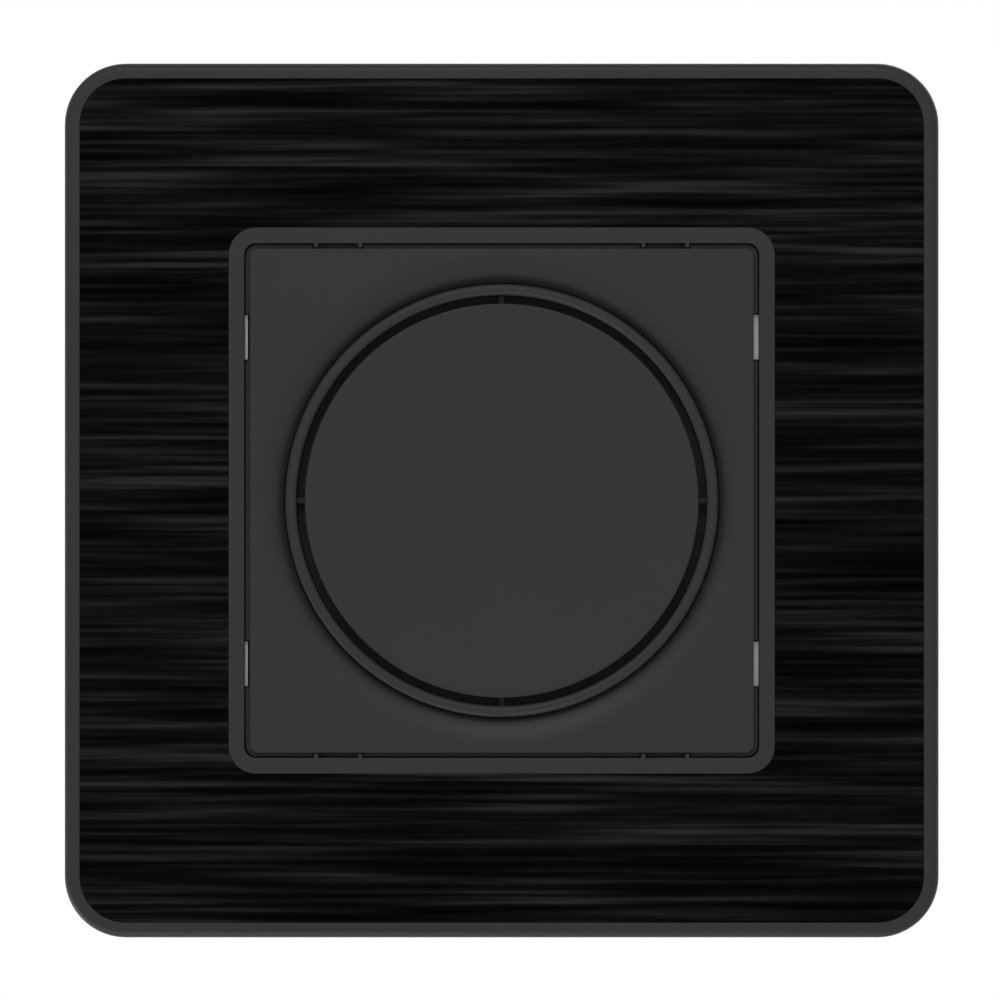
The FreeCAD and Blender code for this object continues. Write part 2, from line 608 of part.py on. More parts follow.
# Dial: a grip ring with hub and spokes, and a face cap pegged into it

def draw_shaft_section(sketch, gap):
    """Round shaft with one flat, or the hole that fits it with a gap all round."""
    radius = f"(Dim.shaft_radius + {gap})"
    flat = f"(Dim.shaft_flat + {gap})"
    half = f"sqrt({radius}^2 - {flat}^2)"
    draw_outline(sketch, [(half, flat), (f"-{half}", flat, radius), ("0", f"-{radius}", radius)])


dial_ring = new_body("dial_ring")
RING_RADIUS = f"({WELL_RADIUS} - Dim.well_gap)"
GROOVE_RADIUS = f"({RING_RADIUS} - Dim.ring_band)"
CAP_RADIUS = f"({GROOVE_RADIUS} - Dim.groove_width)"
RING_FRONT = f"({CENTRE_FRONT} + Dim.ring_proud)"
RING_BACK = f"({FLOOR_FRONT} + Dim.press_travel + Dim.ring_room)"
CAP_FRONT = f"({CENTRE_FRONT} + Dim.cap_proud)"
WEB_FRONT = f"({CAP_FRONT} - Dim.cap_thick)"
WEB_BACK = f"({WEB_FRONT} - Dim.web_thick)"
WASHER_FRONT = f"({FLOOR_FRONT} + Dim.washer_thick)"
NUT_FRONT = f"({WASHER_FRONT} + Dim.nut_thick)"
BUSH_FRONT = f"({NUT_FRONT} + Dim.bush_proud)"
HUB_BACK = f"({BUSH_FRONT} + Dim.press_travel + Dim.hub_room)"
CHANNEL_RADIUS = f"({CAP_RADIUS} - Dim.channel_overlap)"
CHANNEL_FLOOR = f"({WEB_FRONT} - Dim.channel_depth)"
NUB_TIP = f"({CAP_RADIUS} + Dim.nub_gap)"
PEG_CIRCLE = f"((Dim.hub_radius + {CAP_RADIUS}) / 2)"
PEG_ANGLES = (30, 150, 270)     # in degrees, each midway between two spokes
SPOKE_COUNT = 6
NUB_COUNT = 4
turned(dial_ring, "profile", [
    ("0", HUB_BACK),
    ("Dim.hub_radius", HUB_BACK),
    ("Dim.hub_radius", WEB_BACK),
    (f"{CHANNEL_RADIUS} - Dim.web_thick", WEB_BACK),
    (f"{CHANNEL_RADIUS} - Dim.web_thick", f"{CHANNEL_FLOOR} - Dim.web_thick"),
    (f"{RING_RADIUS} - Dim.ring_wall", f"{CHANNEL_FLOOR} - Dim.web_thick"),
    (f"{RING_RADIUS} - Dim.ring_wall", RING_BACK),
    (RING_RADIUS, RING_BACK),
    (RING_RADIUS, f"{RING_FRONT} - Dim.ring_crest", "Dim.ring_crest"),
    (f"{RING_RADIUS} - Dim.ring_crest", RING_FRONT),
    (f"{GROOVE_RADIUS} + Dim.ring_crest", RING_FRONT, "Dim.ring_crest"),
    (GROOVE_RADIUS, f"{RING_FRONT} - Dim.ring_crest"),
    (GROOVE_RADIUS, CHANNEL_FLOOR),
    (CHANNEL_RADIUS, CHANNEL_FLOOR),
    (CHANNEL_RADIUS, WEB_FRONT),
    ("0", WEB_FRONT),
])
spoke = pad(dial_ring, "spoke", f"{HUB_BACK} + Dim.spoke_lift", f"{WEB_BACK} + Dim.merge",
            lambda s: draw_box(s, "Dim.hub_radius - Dim.merge", "-Dim.dial_rib / 2",
                               f"{CHANNEL_RADIUS} - Dim.web_thick / 2", "Dim.dial_rib / 2"))
repeat_round(dial_ring, "spokes", spoke, SPOKE_COUNT)
nub = pad(dial_ring, "nub", f"{CHANNEL_FLOOR} - Dim.merge", f"{CAP_FRONT} - Dim.nub_drop",
          lambda s: draw_box(s, "-Dim.nub_width / 2", NUB_TIP, "Dim.nub_width / 2",
                             f"{GROOVE_RADIUS} + Dim.merge"))
repeat_round(dial_ring, "nubs", nub, NUB_COUNT)
pocket(dial_ring, "shaft_hole", HUB_BACK, WEB_FRONT,
       lambda s: draw_shaft_section(s, "Dim.hub_gap"))


def draw_pegs(sketch, gap):
    """One circle for each peg."""
    for turn in PEG_ANGLES:
        draw_circle(sketch, f"{PEG_CIRCLE} * cos({turn} deg)", f"{PEG_CIRCLE} * sin({turn} deg)",
                    f"Dim.peg_radius + {gap}")


pocket(dial_ring, "peg_holes", WEB_BACK, WEB_FRONT, lambda s: draw_pegs(s, "Dim.peg_gap"))

dial_cap = new_body("dial_cap")
CAP_EDGE = f"({CAP_RADIUS} - Dim.cap_round)"
CAP_BOWL = f"(({CAP_EDGE}^2 + Dim.cap_hollow^2) / (2 * Dim.cap_hollow))"
turned(dial_cap, "disc", [
    ("0", WEB_FRONT),
    (CAP_RADIUS, WEB_FRONT),
    (CAP_RADIUS, f"{CAP_FRONT} - Dim.cap_round", "Dim.cap_round"),
    (CAP_EDGE, CAP_FRONT, CAP_BOWL, "hollow"),
    ("0", f"{CAP_FRONT} - Dim.cap_hollow"),
])
pad(dial_cap, "pegs", f"{WEB_FRONT} - Dim.peg_length", WEB_FRONT, lambda s: draw_pegs(s, "0"))


# Control shaft with its flat and the collar that stops it behind the bushing

control_shaft = new_body("control_shaft")
BUSH_REAR = "(-Dim.flange_thick - Dim.spigot_length)"
COLLAR_FRONT = f"({BUSH_REAR} - Dim.stop_gap)"
COLLAR_REAR = f"({COLLAR_FRONT} - Dim.shoulder_thick)"
ROTOR_FRONT = f"({COLLAR_REAR} - Dim.press_travel - Dim.rotor_gap)"
ROTOR_REAR = f"({ROTOR_FRONT} - Dim.rotor_thick)"
TRACK_FRONT = f"({ROTOR_REAR} - Dim.wiper_room)"
BOARD_FRONT = f"({TRACK_FRONT} - Dim.track_thick)"
BOARD_REAR = f"({BOARD_FRONT} - Dim.board_thick)"

pad(control_shaft, "flatted_length", TRACK_FRONT, f"{WEB_FRONT} - Dim.shaft_inset",
    lambda s: draw_shaft_section(s, "0"))
pad(control_shaft, "round_length", COLLAR_REAR, f"{HUB_BACK} - Dim.stop_gap",
    lambda s: draw_circle(s, "0", "0", "Dim.shaft_radius"))
pad(control_shaft, "collar", COLLAR_REAR, COLLAR_FRONT,
    lambda s: draw_circle(s, "0", "0", "Dim.shoulder_radius"))


# Threaded bushing, nut and lock washer, which clamp the centre plate against the bracket

threaded_bushing = new_body("threaded_bushing")
turned(threaded_bushing, "profile", [
    ("Dim.shaft_radius + Dim.shaft_gap", BUSH_REAR),
    ("Dim.spigot_radius", BUSH_REAR),
    ("Dim.spigot_radius", "-Dim.flange_thick"),
    ("Dim.bush_flange", "-Dim.flange_thick"),
    ("Dim.bush_flange", "0"),
    ("Dim.bush_radius", "0"),
    ("Dim.bush_radius", f"{BUSH_FRONT} - Dim.bush_chamfer"),
    ("Dim.bush_radius - Dim.bush_chamfer", BUSH_FRONT),
    ("Dim.shaft_radius + Dim.shaft_gap", BUSH_FRONT),
])

lock_washer = new_body("lock_washer")
TOOTH_COUNT = 12
pad(lock_washer, "disc", FLOOR_FRONT, WASHER_FRONT,
    lambda s: draw_circle(s, "0", "0", "Dim.washer_radius"))
tooth_gap = pocket(lock_washer, "tooth_gap", FLOOR_FRONT, WASHER_FRONT,
                   lambda s: draw_box(s, "Dim.washer_radius - Dim.tooth_length", "-Dim.tooth_space / 2",
                                      "Dim.washer_radius + Dim.tooth_length", "Dim.tooth_space / 2"))
repeat_round(lock_washer, "tooth_gaps", tooth_gap, TOOTH_COUNT)
pocket(lock_washer, "hole", FLOOR_FRONT, WASHER_FRONT,
       lambda s: draw_circle(s, "0", "0", "Dim.bush_radius + Dim.bush_gap"))

clamping_nut = new_body("clamping_nut")


def draw_hexagon(sketch):
    """Hexagon measured across its flats."""
    corner = "(Dim.nut_flats / sqrt(3))"
    draw_outline(sketch, [
        (f"{corner} * cos({turn} deg)", f"{corner} * sin({turn} deg)") for turn in range(0, 360, 60)
    ])


pad(clamping_nut, "hexagon", WASHER_FRONT, NUT_FRONT, draw_hexagon)
pocket(clamping_nut, "thread_hole", WASHER_FRONT, NUT_FRONT,
       lambda s: draw_circle(s, "0", "0", "Dim.bush_radius + Dim.thread_gap"))


# Mounting bracket: one steel sheet whose four catches are bent forward out of it

mounting_bracket = new_body("mounting_bracket")
HALF_BRACKET = "(Dim.plate_width / 2 - Dim.bracket_inset)"
SLOT_PLACE = f"({HALF_BRACKET} - Dim.slot_margin)"
BOSS_PLACE = f"(({CUP_RADIUS} + Dim.screw_head + Dim.head_gap) / sqrt(2))"


def draw_slot(sketch, side, upright):
    """Fixing slot that points away from the middle."""
    half = "Dim.slot_width / 2"
    run = "(Dim.slot_length - Dim.slot_width) / 2"
    near = f"({side} * {SLOT_PLACE} - {run})"
    far = f"({side} * {SLOT_PLACE} + {run})"
    if upright:
        points = [(half, near), (half, far, half), (f"-{half}", far), (f"-{half}", near, half)]
    else:
        points = [(near, f"-{half}"), (far, f"-{half}", half), (far, half), (near, half, half)]
    draw_outline(sketch, points)


def draw_bosses(sketch, radius):
    """Four circles at the places of the housing screws."""
    for side in (-1, 1):
        for place in (-1, 1):
            draw_circle(sketch, f"{side} * {BOSS_PLACE}", f"{place} * {BOSS_PLACE}", radius)


def draw_bracket_holes(sketch):
    """Bushing hole, screw holes, four fixing slots and the windows that the catches leave."""
    draw_circle(sketch, "0", "0", "Dim.bush_radius + Dim.bush_gap")
    draw_bosses(sketch, "Dim.screw_radius + Dim.bush_gap")
    for side in (-1, 1):
        draw_slot(sketch, side, True)
        draw_slot(sketch, side, False)
        for place in (-1, 1):
            draw_box(sketch, f"{side} * {CATCH_OUTER} - Dim.catch_lean",
                     f"{place} * {CATCH_PLACE} - Dim.catch_height / 2",
                     f"{side} * ({CATCH_OUTER} + {CATCH_TIP} - Dim.sheet_thick) - Dim.catch_lean",
                     f"{place} * {CATCH_PLACE} + Dim.catch_height / 2")


def draw_catches(sketch):
    """Sections of the four upright catches."""
    for side in (-1, 1):
        for place in (-1, 1):
            draw_box(sketch, f"{side} * {CATCH_INNER} - Dim.catch_lean",
                     f"{place} * {CATCH_PLACE} - Dim.catch_height / 2",
                     f"{side} * {CATCH_OUTER} - Dim.catch_lean",
                     f"{place} * {CATCH_PLACE} + Dim.catch_height / 2")


pad(mounting_bracket, "sheet", "0", BRACKET_FRONT,
    lambda s: draw_cut_square(s, HALF_BRACKET, "Dim.bracket_corner"))
pocket(mounting_bracket, "holes", "0", BRACKET_FRONT, draw_bracket_holes)
pad(mounting_bracket, "catches", "0", CATCH_TIP, draw_catches)


# Housing that goes into the flush box, with bosses for its screws and openings for the wires

device_housing = new_body("device_housing")
HALF_HOUSING = f"({BOSS_PLACE} + Dim.boss_margin)"
HALF_INSIDE = f"({HALF_HOUSING} - Dim.housing_wall)"
CORNER_INSIDE = "(Dim.housing_corner - Dim.housing_wall * (2 - sqrt(2)))"
HALF_DEEP = f"({HALF_INSIDE} - Dim.ledge_width)"
REAR_INSIDE = "(-Dim.housing_depth + Dim.housing_wall)"
WIRE_HEIGHT = f"(-{HALF_DEEP} + Dim.cage_gap + Dim.cage_throat + Dim.wire_radius)"
CAGE_REAR = f"({REAR_INSIDE} + Dim.stop_gap)"
CAGE_MIDDLE = f"({CAGE_REAR} + Dim.cage_deep / 2)"
POLE_COUNT = 4
POLES = [i - (POLE_COUNT - 1) / 2 for i in range(POLE_COUNT)]


def draw_wire_holes(sketch, radius):
    """One circle round the wire of each terminal."""
    for pole in POLES:
        draw_circle(sketch, f"{pole} * Dim.pole_pitch", WIRE_HEIGHT, radius)


def draw_clamp_circles(sketch, radius):
    """One circle round the screw of each terminal, seen from above."""
    for pole in POLES:
        draw_circle(sketch, f"{pole} * Dim.pole_pitch", f"-{CAGE_MIDDLE}", radius)


pad(device_housing, "block", "-Dim.housing_depth", "0",
    lambda s: draw_cut_square(s, HALF_HOUSING, "Dim.housing_corner"))
pocket(device_housing, "front_room", BOARD_REAR, "0",
       lambda s: draw_cut_square(s, HALF_INSIDE, CORNER_INSIDE))
pocket(device_housing, "rear_room", REAR_INSIDE, BOARD_REAR,
       lambda s: draw_cut_square(s, HALF_DEEP, CORNER_INSIDE))
pad(device_housing, "bosses", f"{REAR_INSIDE} - Dim.housing_wall / 2", "0",
    lambda s: draw_bosses(s, "Dim.boss_radius"))
pocket(device_housing, "pilot_holes", "-Dim.screw_length - Dim.pilot_spare", "0",
       lambda s: draw_bosses(s, "Dim.screw_radius"))
pocket(device_housing, "wire_entries", "-Dim.housing_depth", REAR_INSIDE,
       lambda s: draw_wire_holes(s, "Dim.entry_radius"))
pocket(device_housing, "driver_holes", f"-{HALF_HOUSING}", f"-{HALF_DEEP}",
       lambda s: draw_clamp_circles(s, "Dim.driver_radius"), "XY_Plane")


def draw_crosses(sketch):
    """Cross recess in each of the four heads."""
    arm = "Dim.recess_width / 2"
    reach = "Dim.recess_reach"
    for side in (-1, 1):
        for place in (-1, 1):
            across = f"{side} * {BOSS_PLACE}"
            up = f"{place} * {BOSS_PLACE}"
            corners = [
                (arm, arm), (arm, reach), (f"-{arm}", reach), (f"-{arm}", arm),
                (f"-{reach}", arm), (f"-{reach}", f"-{arm}"), (f"-{arm}", f"-{arm}"),
                (f"-{arm}", f"-{reach}"), (arm, f"-{reach}"), (arm, f"-{arm}"),
                (reach, f"-{arm}"), (reach, arm),
            ]
            draw_outline(sketch, [(f"{across} + ({x})", f"{up} + ({y})") for x, y in corners])


housing_screws = new_body("housing_screws")
SCREW_HEAD_TOP = f"({BRACKET_FRONT} + Dim.screw_head_tall)"
pad(housing_screws, "shanks", f"{BRACKET_FRONT} - Dim.screw_length", BRACKET_FRONT,
    lambda s: draw_bosses(s, "Dim.screw_radius"))
pad(housing_screws, "heads", BRACKET_FRONT, SCREW_HEAD_TOP, lambda s: draw_bosses(s, "Dim.screw_head"))
pocket(housing_screws, "recesses", f"{SCREW_HEAD_TOP} - Dim.recess_depth", SCREW_HEAD_TOP, draw_crosses)


# Circuit board on the housing's ledge

circuit_board = new_body("circuit_board")
HALF_BOARD = f"({HALF_INSIDE} - Dim.board_gap)"
BOARD_CORNER = f"(2 * ({HALF_BOARD} - {BOSS_PLACE}) + sqrt(2) * (Dim.boss_radius + Dim.board_gap))"
pad(circuit_board, "board", BOARD_REAR, BOARD_FRONT,
    lambda s: draw_cut_square(s, HALF_BOARD, BOARD_CORNER))
pocket(circuit_board, "plunger_hole", BOARD_REAR, BOARD_FRONT,
       lambda s: draw_circle(s, "0", "0", "Dim.plunger_radius + Dim.plunger_gap"))


# Potentiometer: case, track, rotor and wiper

potentiometer_case = new_body("potentiometer_case")
turned(potentiometer_case, "profile", [
    ("Dim.spigot_radius", "-Dim.flange_thick - Dim.pot_wall"),
    ("Dim.spigot_radius", "-Dim.flange_thick"),
    ("Dim.pot_radius", "-Dim.flange_thick"),
    ("Dim.pot_radius", BOARD_FRONT),
    ("Dim.pot_radius - Dim.pot_wall", BOARD_FRONT),
    ("Dim.pot_radius - Dim.pot_wall", "-Dim.flange_thick - Dim.pot_wall"),
])

resistor_track = new_body("resistor_track")
turned(resistor_track, "profile", [
    ("Dim.plunger_radius + Dim.plunger_gap", BOARD_FRONT),
    ("Dim.pot_radius - Dim.pot_wall - Dim.track_gap", BOARD_FRONT),
    ("Dim.pot_radius - Dim.pot_wall - Dim.track_gap", TRACK_FRONT),
    ("Dim.plunger_radius + Dim.plunger_gap", TRACK_FRONT),
])

wiper_rotor = new_body("wiper_rotor")
ROTOR_RADIUS = "(Dim.pot_radius - Dim.pot_wall - Dim.rotor_margin)"
pad(wiper_rotor, "disc", ROTOR_REAR, ROTOR_FRONT, lambda s: draw_circle(s, "0", "0", ROTOR_RADIUS))
pocket(wiper_rotor, "shaft_hole", ROTOR_REAR, ROTOR_FRONT,
       lambda s: draw_shaft_section(s, "Dim.shaft_gap"))

wiper_spring = new_body("wiper_spring")


def draw_wiper(sketch):
    """Bent strip seen from the side: flat on the rotor, then down to the track."""
    outer = f"({ROTOR_RADIUS} - Dim.rotor_margin)"
    inner = f"({outer} - Dim.wiper_length)"
    rotor = f"-{ROTOR_REAR}"
    track = f"-({TRACK_FRONT} + Dim.track_gap)"
    draw_outline(sketch, [
        (inner, rotor),
        (outer, rotor),
        (outer, track),
        (f"{outer} - Dim.wiper_foot", track),
        (f"{outer} - Dim.wiper_foot", f"{track} - Dim.wiper_thick"),
        (f"{outer} - Dim.wiper_thick", f"{track} - Dim.wiper_thick"),
        (f"{outer} - Dim.wiper_thick", f"{rotor} + Dim.wiper_thick"),
        (inner, f"{rotor} + Dim.wiper_thick"),
    ])


pad(wiper_spring, "strip", "-Dim.wiper_width / 2", "Dim.wiper_width / 2", draw_wiper, "XY_Plane")


# Push switch behind the board

HALF_SWITCH = "Dim.switch_width / 2"
HALF_SWITCH_INSIDE = "(Dim.switch_width / 2 - Dim.switch_wall)"
SWITCH_REAR = f"({BOARD_REAR} - Dim.switch_deep)"
SWITCH_FLOOR = f"({BOARD_REAR} - Dim.switch_cover_thick)"
SWITCH_COVER_FRONT = f"({SWITCH_REAR} + Dim.switch_cover_thick)"

switch_case = new_body("switch_case")
pad(switch_case, "block", SWITCH_COVER_FRONT, BOARD_REAR,
    lambda s: draw_box(s, f"-{HALF_SWITCH}", f"-{HALF_SWITCH}", HALF_SWITCH, HALF_SWITCH))
pocket(switch_case, "room", SWITCH_COVER_FRONT, SWITCH_FLOOR,
       lambda s: draw_box(s, f"-{HALF_SWITCH_INSIDE}", f"-{HALF_SWITCH_INSIDE}",
                          HALF_SWITCH_INSIDE, HALF_SWITCH_INSIDE))
pocket(switch_case, "plunger_hole", SWITCH_FLOOR, BOARD_REAR,
       lambda s: draw_circle(s, "0", "0", "Dim.plunger_radius + Dim.plunger_gap"))

switch_cover = new_body("switch_cover")
pad(switch_cover, "plate", SWITCH_REAR, SWITCH_COVER_FRONT,
    lambda s: draw_box(s, f"-{HALF_SWITCH}", f"-{HALF_SWITCH}", HALF_SWITCH, HALF_SWITCH))

push_plunger = new_body("push_plunger")
PLATE_FRONT = f"({SWITCH_FLOOR} - Dim.plunger_gap)"
PLATE_REAR = f"({PLATE_FRONT} - Dim.plunger_plate_thick)"
HALF_PLUNGER_PLATE = f"({HALF_SWITCH_INSIDE} - Dim.plunger_plate_gap)"
HALF_BRIDGE = f"({HALF_PLUNGER_PLATE} - Dim.bridge_inset)"
pad(push_plunger, "rod", PLATE_FRONT, f"{TRACK_FRONT} - Dim.stop_gap",
    lambda s: draw_circle(s, "0", "0", "Dim.plunger_radius"))
pad(push_plunger, "plate", PLATE_REAR, PLATE_FRONT,
    lambda s: draw_box(s, f"-{HALF_PLUNGER_PLATE}", f"-{HALF_PLUNGER_PLATE}",
                       HALF_PLUNGER_PLATE, HALF_PLUNGER_PLATE))
pad(push_plunger, "pin", f"{PLATE_REAR} - Dim.pin_length", PLATE_REAR,
    lambda s: draw_circle(s, "0", "0", "Dim.pin_radius"))

return_spring = new_body("return_spring")
SPRING_FRONT = f"({PLATE_REAR} - Dim.spring_wire - Dim.spring_seat)"
SPRING_REAR = f"({SWITCH_COVER_FRONT} + Dim.spring_wire + Dim.spring_seat)"
spring_sketch = new_sketch(return_spring, "wire", "XY_Plane", "0")
draw_circle(spring_sketch, "Dim.spring_radius", f"-{SPRING_FRONT}", "Dim.spring_wire")
spring_coil = return_spring.newObject("PartDesign::AdditiveHelix", "return_spring_coil")
spring_coil.Profile = spring_sketch
spring_coil.ReferenceAxis = (spring_sketch, ["V_Axis"])
spring_coil.Mode = "height-turns-angle"
spring_coil.setExpression("Height", f"{SPRING_FRONT} - {SPRING_REAR}")
spring_coil.setExpression("Turns", "Dim.spring_turns")
spring_coil.Angle = 0

contact_bridge = new_body("contact_bridge")
BRIDGE_REAR = f"({PLATE_REAR} - Dim.contact_thick)"
pad(contact_bridge, "strip", BRIDGE_REAR, PLATE_REAR,
    lambda s: draw_box(s, f"-{HALF_PLUNGER_PLATE}", f"-{HALF_BRIDGE}", HALF_PLUNGER_PLATE, HALF_BRIDGE))
pocket(contact_bridge, "spring_hole", BRIDGE_REAR, PLATE_REAR,
       lambda s: draw_circle(s, "0", "0", "Dim.spring_radius + Dim.spring_wire + Dim.plunger_gap"))

fixed_contacts = new_body("fixed_contacts")
CONTACT_FRONT = f"({BRIDGE_REAR} - Dim.press_travel - Dim.stop_gap)"


def draw_contact_tongues(sketch):
    """Tongues that reach in from both side walls of the switch."""
    for side in (-1, 1):
        draw_box(sketch, f"{side} * ({HALF_SWITCH_INSIDE} - Dim.tongue_length)", "-Dim.contact_width / 2",
                 f"{side} * {HALF_SWITCH_INSIDE}", "Dim.contact_width / 2")


pad(fixed_contacts, "tongues", f"{CONTACT_FRONT} - Dim.contact_thick", CONTACT_FRONT, draw_contact_tongues)


# Terminals along the lower edge of the board

CAGE_FRONT = f"({CAGE_REAR} + Dim.cage_deep)"
CAGE_TOP = f"({WIRE_HEIGHT} + Dim.wire_radius + Dim.cage_roof)"
CAGE_BOTTOM = f"({WIRE_HEIGHT} - Dim.wire_radius - Dim.cage_throat)"

terminal_cages = new_body("terminal_cages")


def draw_cages(sketch):
    """One rectangle for each terminal."""
    for pole in POLES:
        draw_box(sketch, f"{pole} * Dim.pole_pitch - Dim.cage_width / 2", CAGE_BOTTOM,
                 f"{pole} * Dim.pole_pitch + Dim.cage_width / 2", CAGE_TOP)


def draw_cage_pins(sketch):
    """Solder pins at the cages' upper side, which carry them on the board."""
    for pole in POLES:
        draw_box(sketch, f"{pole} * Dim.pole_pitch - Dim.pin_width / 2", f"{CAGE_TOP} - Dim.pin_thick",
                 f"{pole} * Dim.pole_pitch + Dim.pin_width / 2", CAGE_TOP)


pad(terminal_cages, "blocks", CAGE_REAR, CAGE_FRONT, draw_cages)
pad(terminal_cages, "pins", f"{CAGE_FRONT} - Dim.merge", BOARD_REAR, draw_cage_pins)
pocket(terminal_cages, "wire_holes", CAGE_REAR, CAGE_FRONT,
       lambda s: draw_wire_holes(s, "Dim.wire_radius"))
pocket(terminal_cages, "screw_holes", CAGE_BOTTOM, WIRE_HEIGHT,
       lambda s: draw_clamp_circles(s, "Dim.clamp_radius + Dim.thread_gap"), "XY_Plane")

terminal_screws = new_body("terminal_screws")
CLAMP_HEAD_TOP = f"({CAGE_BOTTOM} - Dim.stop_gap)"
CLAMP_HEAD_LOW = f"({CLAMP_HEAD_TOP} - Dim.clamp_head_tall)"
CLAMP_TIP = f"({WIRE_HEIGHT} - Dim.wire_radius - Dim.stop_gap)"


def draw_driver_slots(sketch):
    """Slot across the head of each terminal screw."""
    for pole in POLES:
        draw_box(sketch, f"{pole} * Dim.pole_pitch - Dim.clamp_head",
                 f"-{CAGE_MIDDLE} - Dim.recess_width / 2",
                 f"{pole} * Dim.pole_pitch + Dim.clamp_head", f"-{CAGE_MIDDLE} + Dim.recess_width / 2")


pad(terminal_screws, "shanks", f"{CLAMP_HEAD_TOP} - Dim.merge", CLAMP_TIP,
    lambda s: draw_clamp_circles(s, "Dim.clamp_radius"), "XY_Plane")
pad(terminal_screws, "heads", CLAMP_HEAD_LOW, CLAMP_HEAD_TOP,
    lambda s: draw_clamp_circles(s, "Dim.clamp_head"), "XY_Plane")
pocket(terminal_screws, "slots", CLAMP_HEAD_LOW, f"{CLAMP_HEAD_LOW} + Dim.recess_depth",
       draw_driver_slots, "XY_Plane")


# Electronic parts on the board

choke_core = new_body("choke_core")
CHOKE_MIDDLE = (f"-({HALF_DEEP} + {HALF_SWITCH}) / 2", "0")
CHOKE_RADIUS = f"(({HALF_DEEP} - {HALF_SWITCH}) / 2 - Dim.choke_margin)"
CHOKE_STEM = f"({CHOKE_RADIUS} - Dim.choke_window)"
CHOKE_REAR = f"({REAR_INSIDE} + Dim.choke_clear)"
pad(choke_core, "front_flange", f"{BOARD_REAR} - Dim.choke_flange", BOARD_REAR,
    lambda s: draw_circle(s, *CHOKE_MIDDLE, CHOKE_RADIUS))
pad(choke_core, "stem", f"{CHOKE_REAR} + Dim.choke_flange", f"{BOARD_REAR} - Dim.choke_flange",
    lambda s: draw_circle(s, *CHOKE_MIDDLE, CHOKE_STEM))
pad(choke_core, "rear_flange", CHOKE_REAR, f"{CHOKE_REAR} + Dim.choke_flange",
    lambda s: draw_circle(s, *CHOKE_MIDDLE, CHOKE_RADIUS))

choke_winding = new_body("choke_winding")


def draw_winding(sketch):
    """Tube section of the winding round the core."""
    draw_circle(sketch, *CHOKE_MIDDLE, f"{CHOKE_RADIUS} - Dim.choke_rim")
    draw_circle(sketch, *CHOKE_MIDDLE, f"{CHOKE_STEM} + Dim.track_gap")


pad(choke_winding, "coil", f"{CHOKE_REAR} + Dim.choke_flange + Dim.track_gap",
    f"{BOARD_REAR} - Dim.choke_flange - Dim.track_gap", draw_winding)

film_capacitor = new_body("film_capacitor")
FILM_REAR = f"({REAR_INSIDE} + Dim.film_clear)"
FILM_HEIGHT = f"(({HALF_DEEP} + {HALF_SWITCH}) / 2)"
pad(film_capacitor, "block", FILM_REAR, BOARD_REAR,
    lambda s: draw_box(s, "-Dim.film_wide / 2", f"{FILM_HEIGHT} - Dim.film_thick / 2",
                       "Dim.film_wide / 2", f"{FILM_HEIGHT} + Dim.film_thick / 2"))
round_edges(film_capacitor, "edges", "Dim.film_edge",
            lambda e: e.BoundBox.YLength > size_of(f"{BOARD_REAR} - {FILM_REAR}") - ROUNDING)

heat_sink = new_body("heat_sink")
SINK_OUTER = f"({HALF_DEEP} - Dim.sink_gap)"
SINK_INNER = f"({SINK_OUTER} - Dim.sink_thick)"
SINK_FRONT = f"({BOARD_REAR} - Dim.sink_gap)"
SINK_REAR = f"({REAR_INSIDE} + Dim.sink_clear)"


def draw_sink(sketch):
    """Folded sheet seen from below: along the side wall, then inward."""
    draw_outline(sketch, [
        (SINK_OUTER, f"-{SINK_FRONT}"),
        (SINK_OUTER, f"-{SINK_REAR}"),
        (f"{SINK_OUTER} - Dim.sink_fold", f"-{SINK_REAR}"),
        (f"{SINK_OUTER} - Dim.sink_fold", f"-{SINK_REAR} - Dim.sink_thick"),
        (SINK_INNER, f"-{SINK_REAR} - Dim.sink_thick"),
        (SINK_INNER, f"-{SINK_FRONT}"),
    ])


pad(heat_sink, "sheet", "-Dim.sink_wide / 2", "Dim.sink_wide / 2", draw_sink, "XY_Plane")

power_triac = new_body("power_triac")
TRIAC_FRONT = f"({BOARD_REAR} - Dim.triac_leg)"
TRIAC_REAR = f"({SINK_REAR} + Dim.sink_thick + Dim.triac_clear)"


def draw_triac_legs(sketch):
    """Three legs side by side."""
    middle = f"({SINK_INNER} - Dim.triac_thick / 2)"
    for leg in (-1, 0, 1):
        height = f"{leg} * Dim.triac_leg_pitch"
        draw_box(sketch, f"{middle} - Dim.triac_leg_width / 2", f"{height} - Dim.triac_leg_width / 2",
                 f"{middle} + Dim.triac_leg_width / 2", f"{height} + Dim.triac_leg_width / 2")


pad(power_triac, "block", TRIAC_REAR, TRIAC_FRONT,
    lambda s: draw_box(s, f"{SINK_INNER} - Dim.triac_thick", "-Dim.triac_wide / 2",
                       SINK_INNER, "Dim.triac_wide / 2"))
pad(power_triac, "legs", TRIAC_FRONT, BOARD_REAR, draw_triac_legs)

FUSE_MIDDLE = f"({BOARD_FRONT} + Dim.fuse_lift + Dim.fuse_radius)"
BESIDE_POT = f"((Dim.pot_radius + {HALF_INSIDE}) / 2)"


def draw_fuse(sketch, radius):
    """Circle round the fuse's axis, on the plane across it."""
    draw_circle(sketch, f"-{FUSE_MIDDLE}", f"-{BESIDE_POT}", radius)


def draw_clip(sketch):
    """U-shaped clip standing on the board, open to the front."""
    inner = "(Dim.fuse_radius + Dim.clip_gap)"
    outer = f"({inner} + Dim.clip_thick)"
    board = f"-{BOARD_FRONT}"
    middle = f"-{FUSE_MIDDLE}"
    low = f"(-{BESIDE_POT})"
    draw_outline(sketch, [
        (board, f"{low} - {outer}"),
        (board, f"{low} + {outer}"),
        (middle, f"{low} + {outer}"),
        (middle, f"{low} + {inner}", inner, "hollow"),
        (middle, f"{low} - {inner}"),
        (middle, f"{low} - {outer}"),
    ])


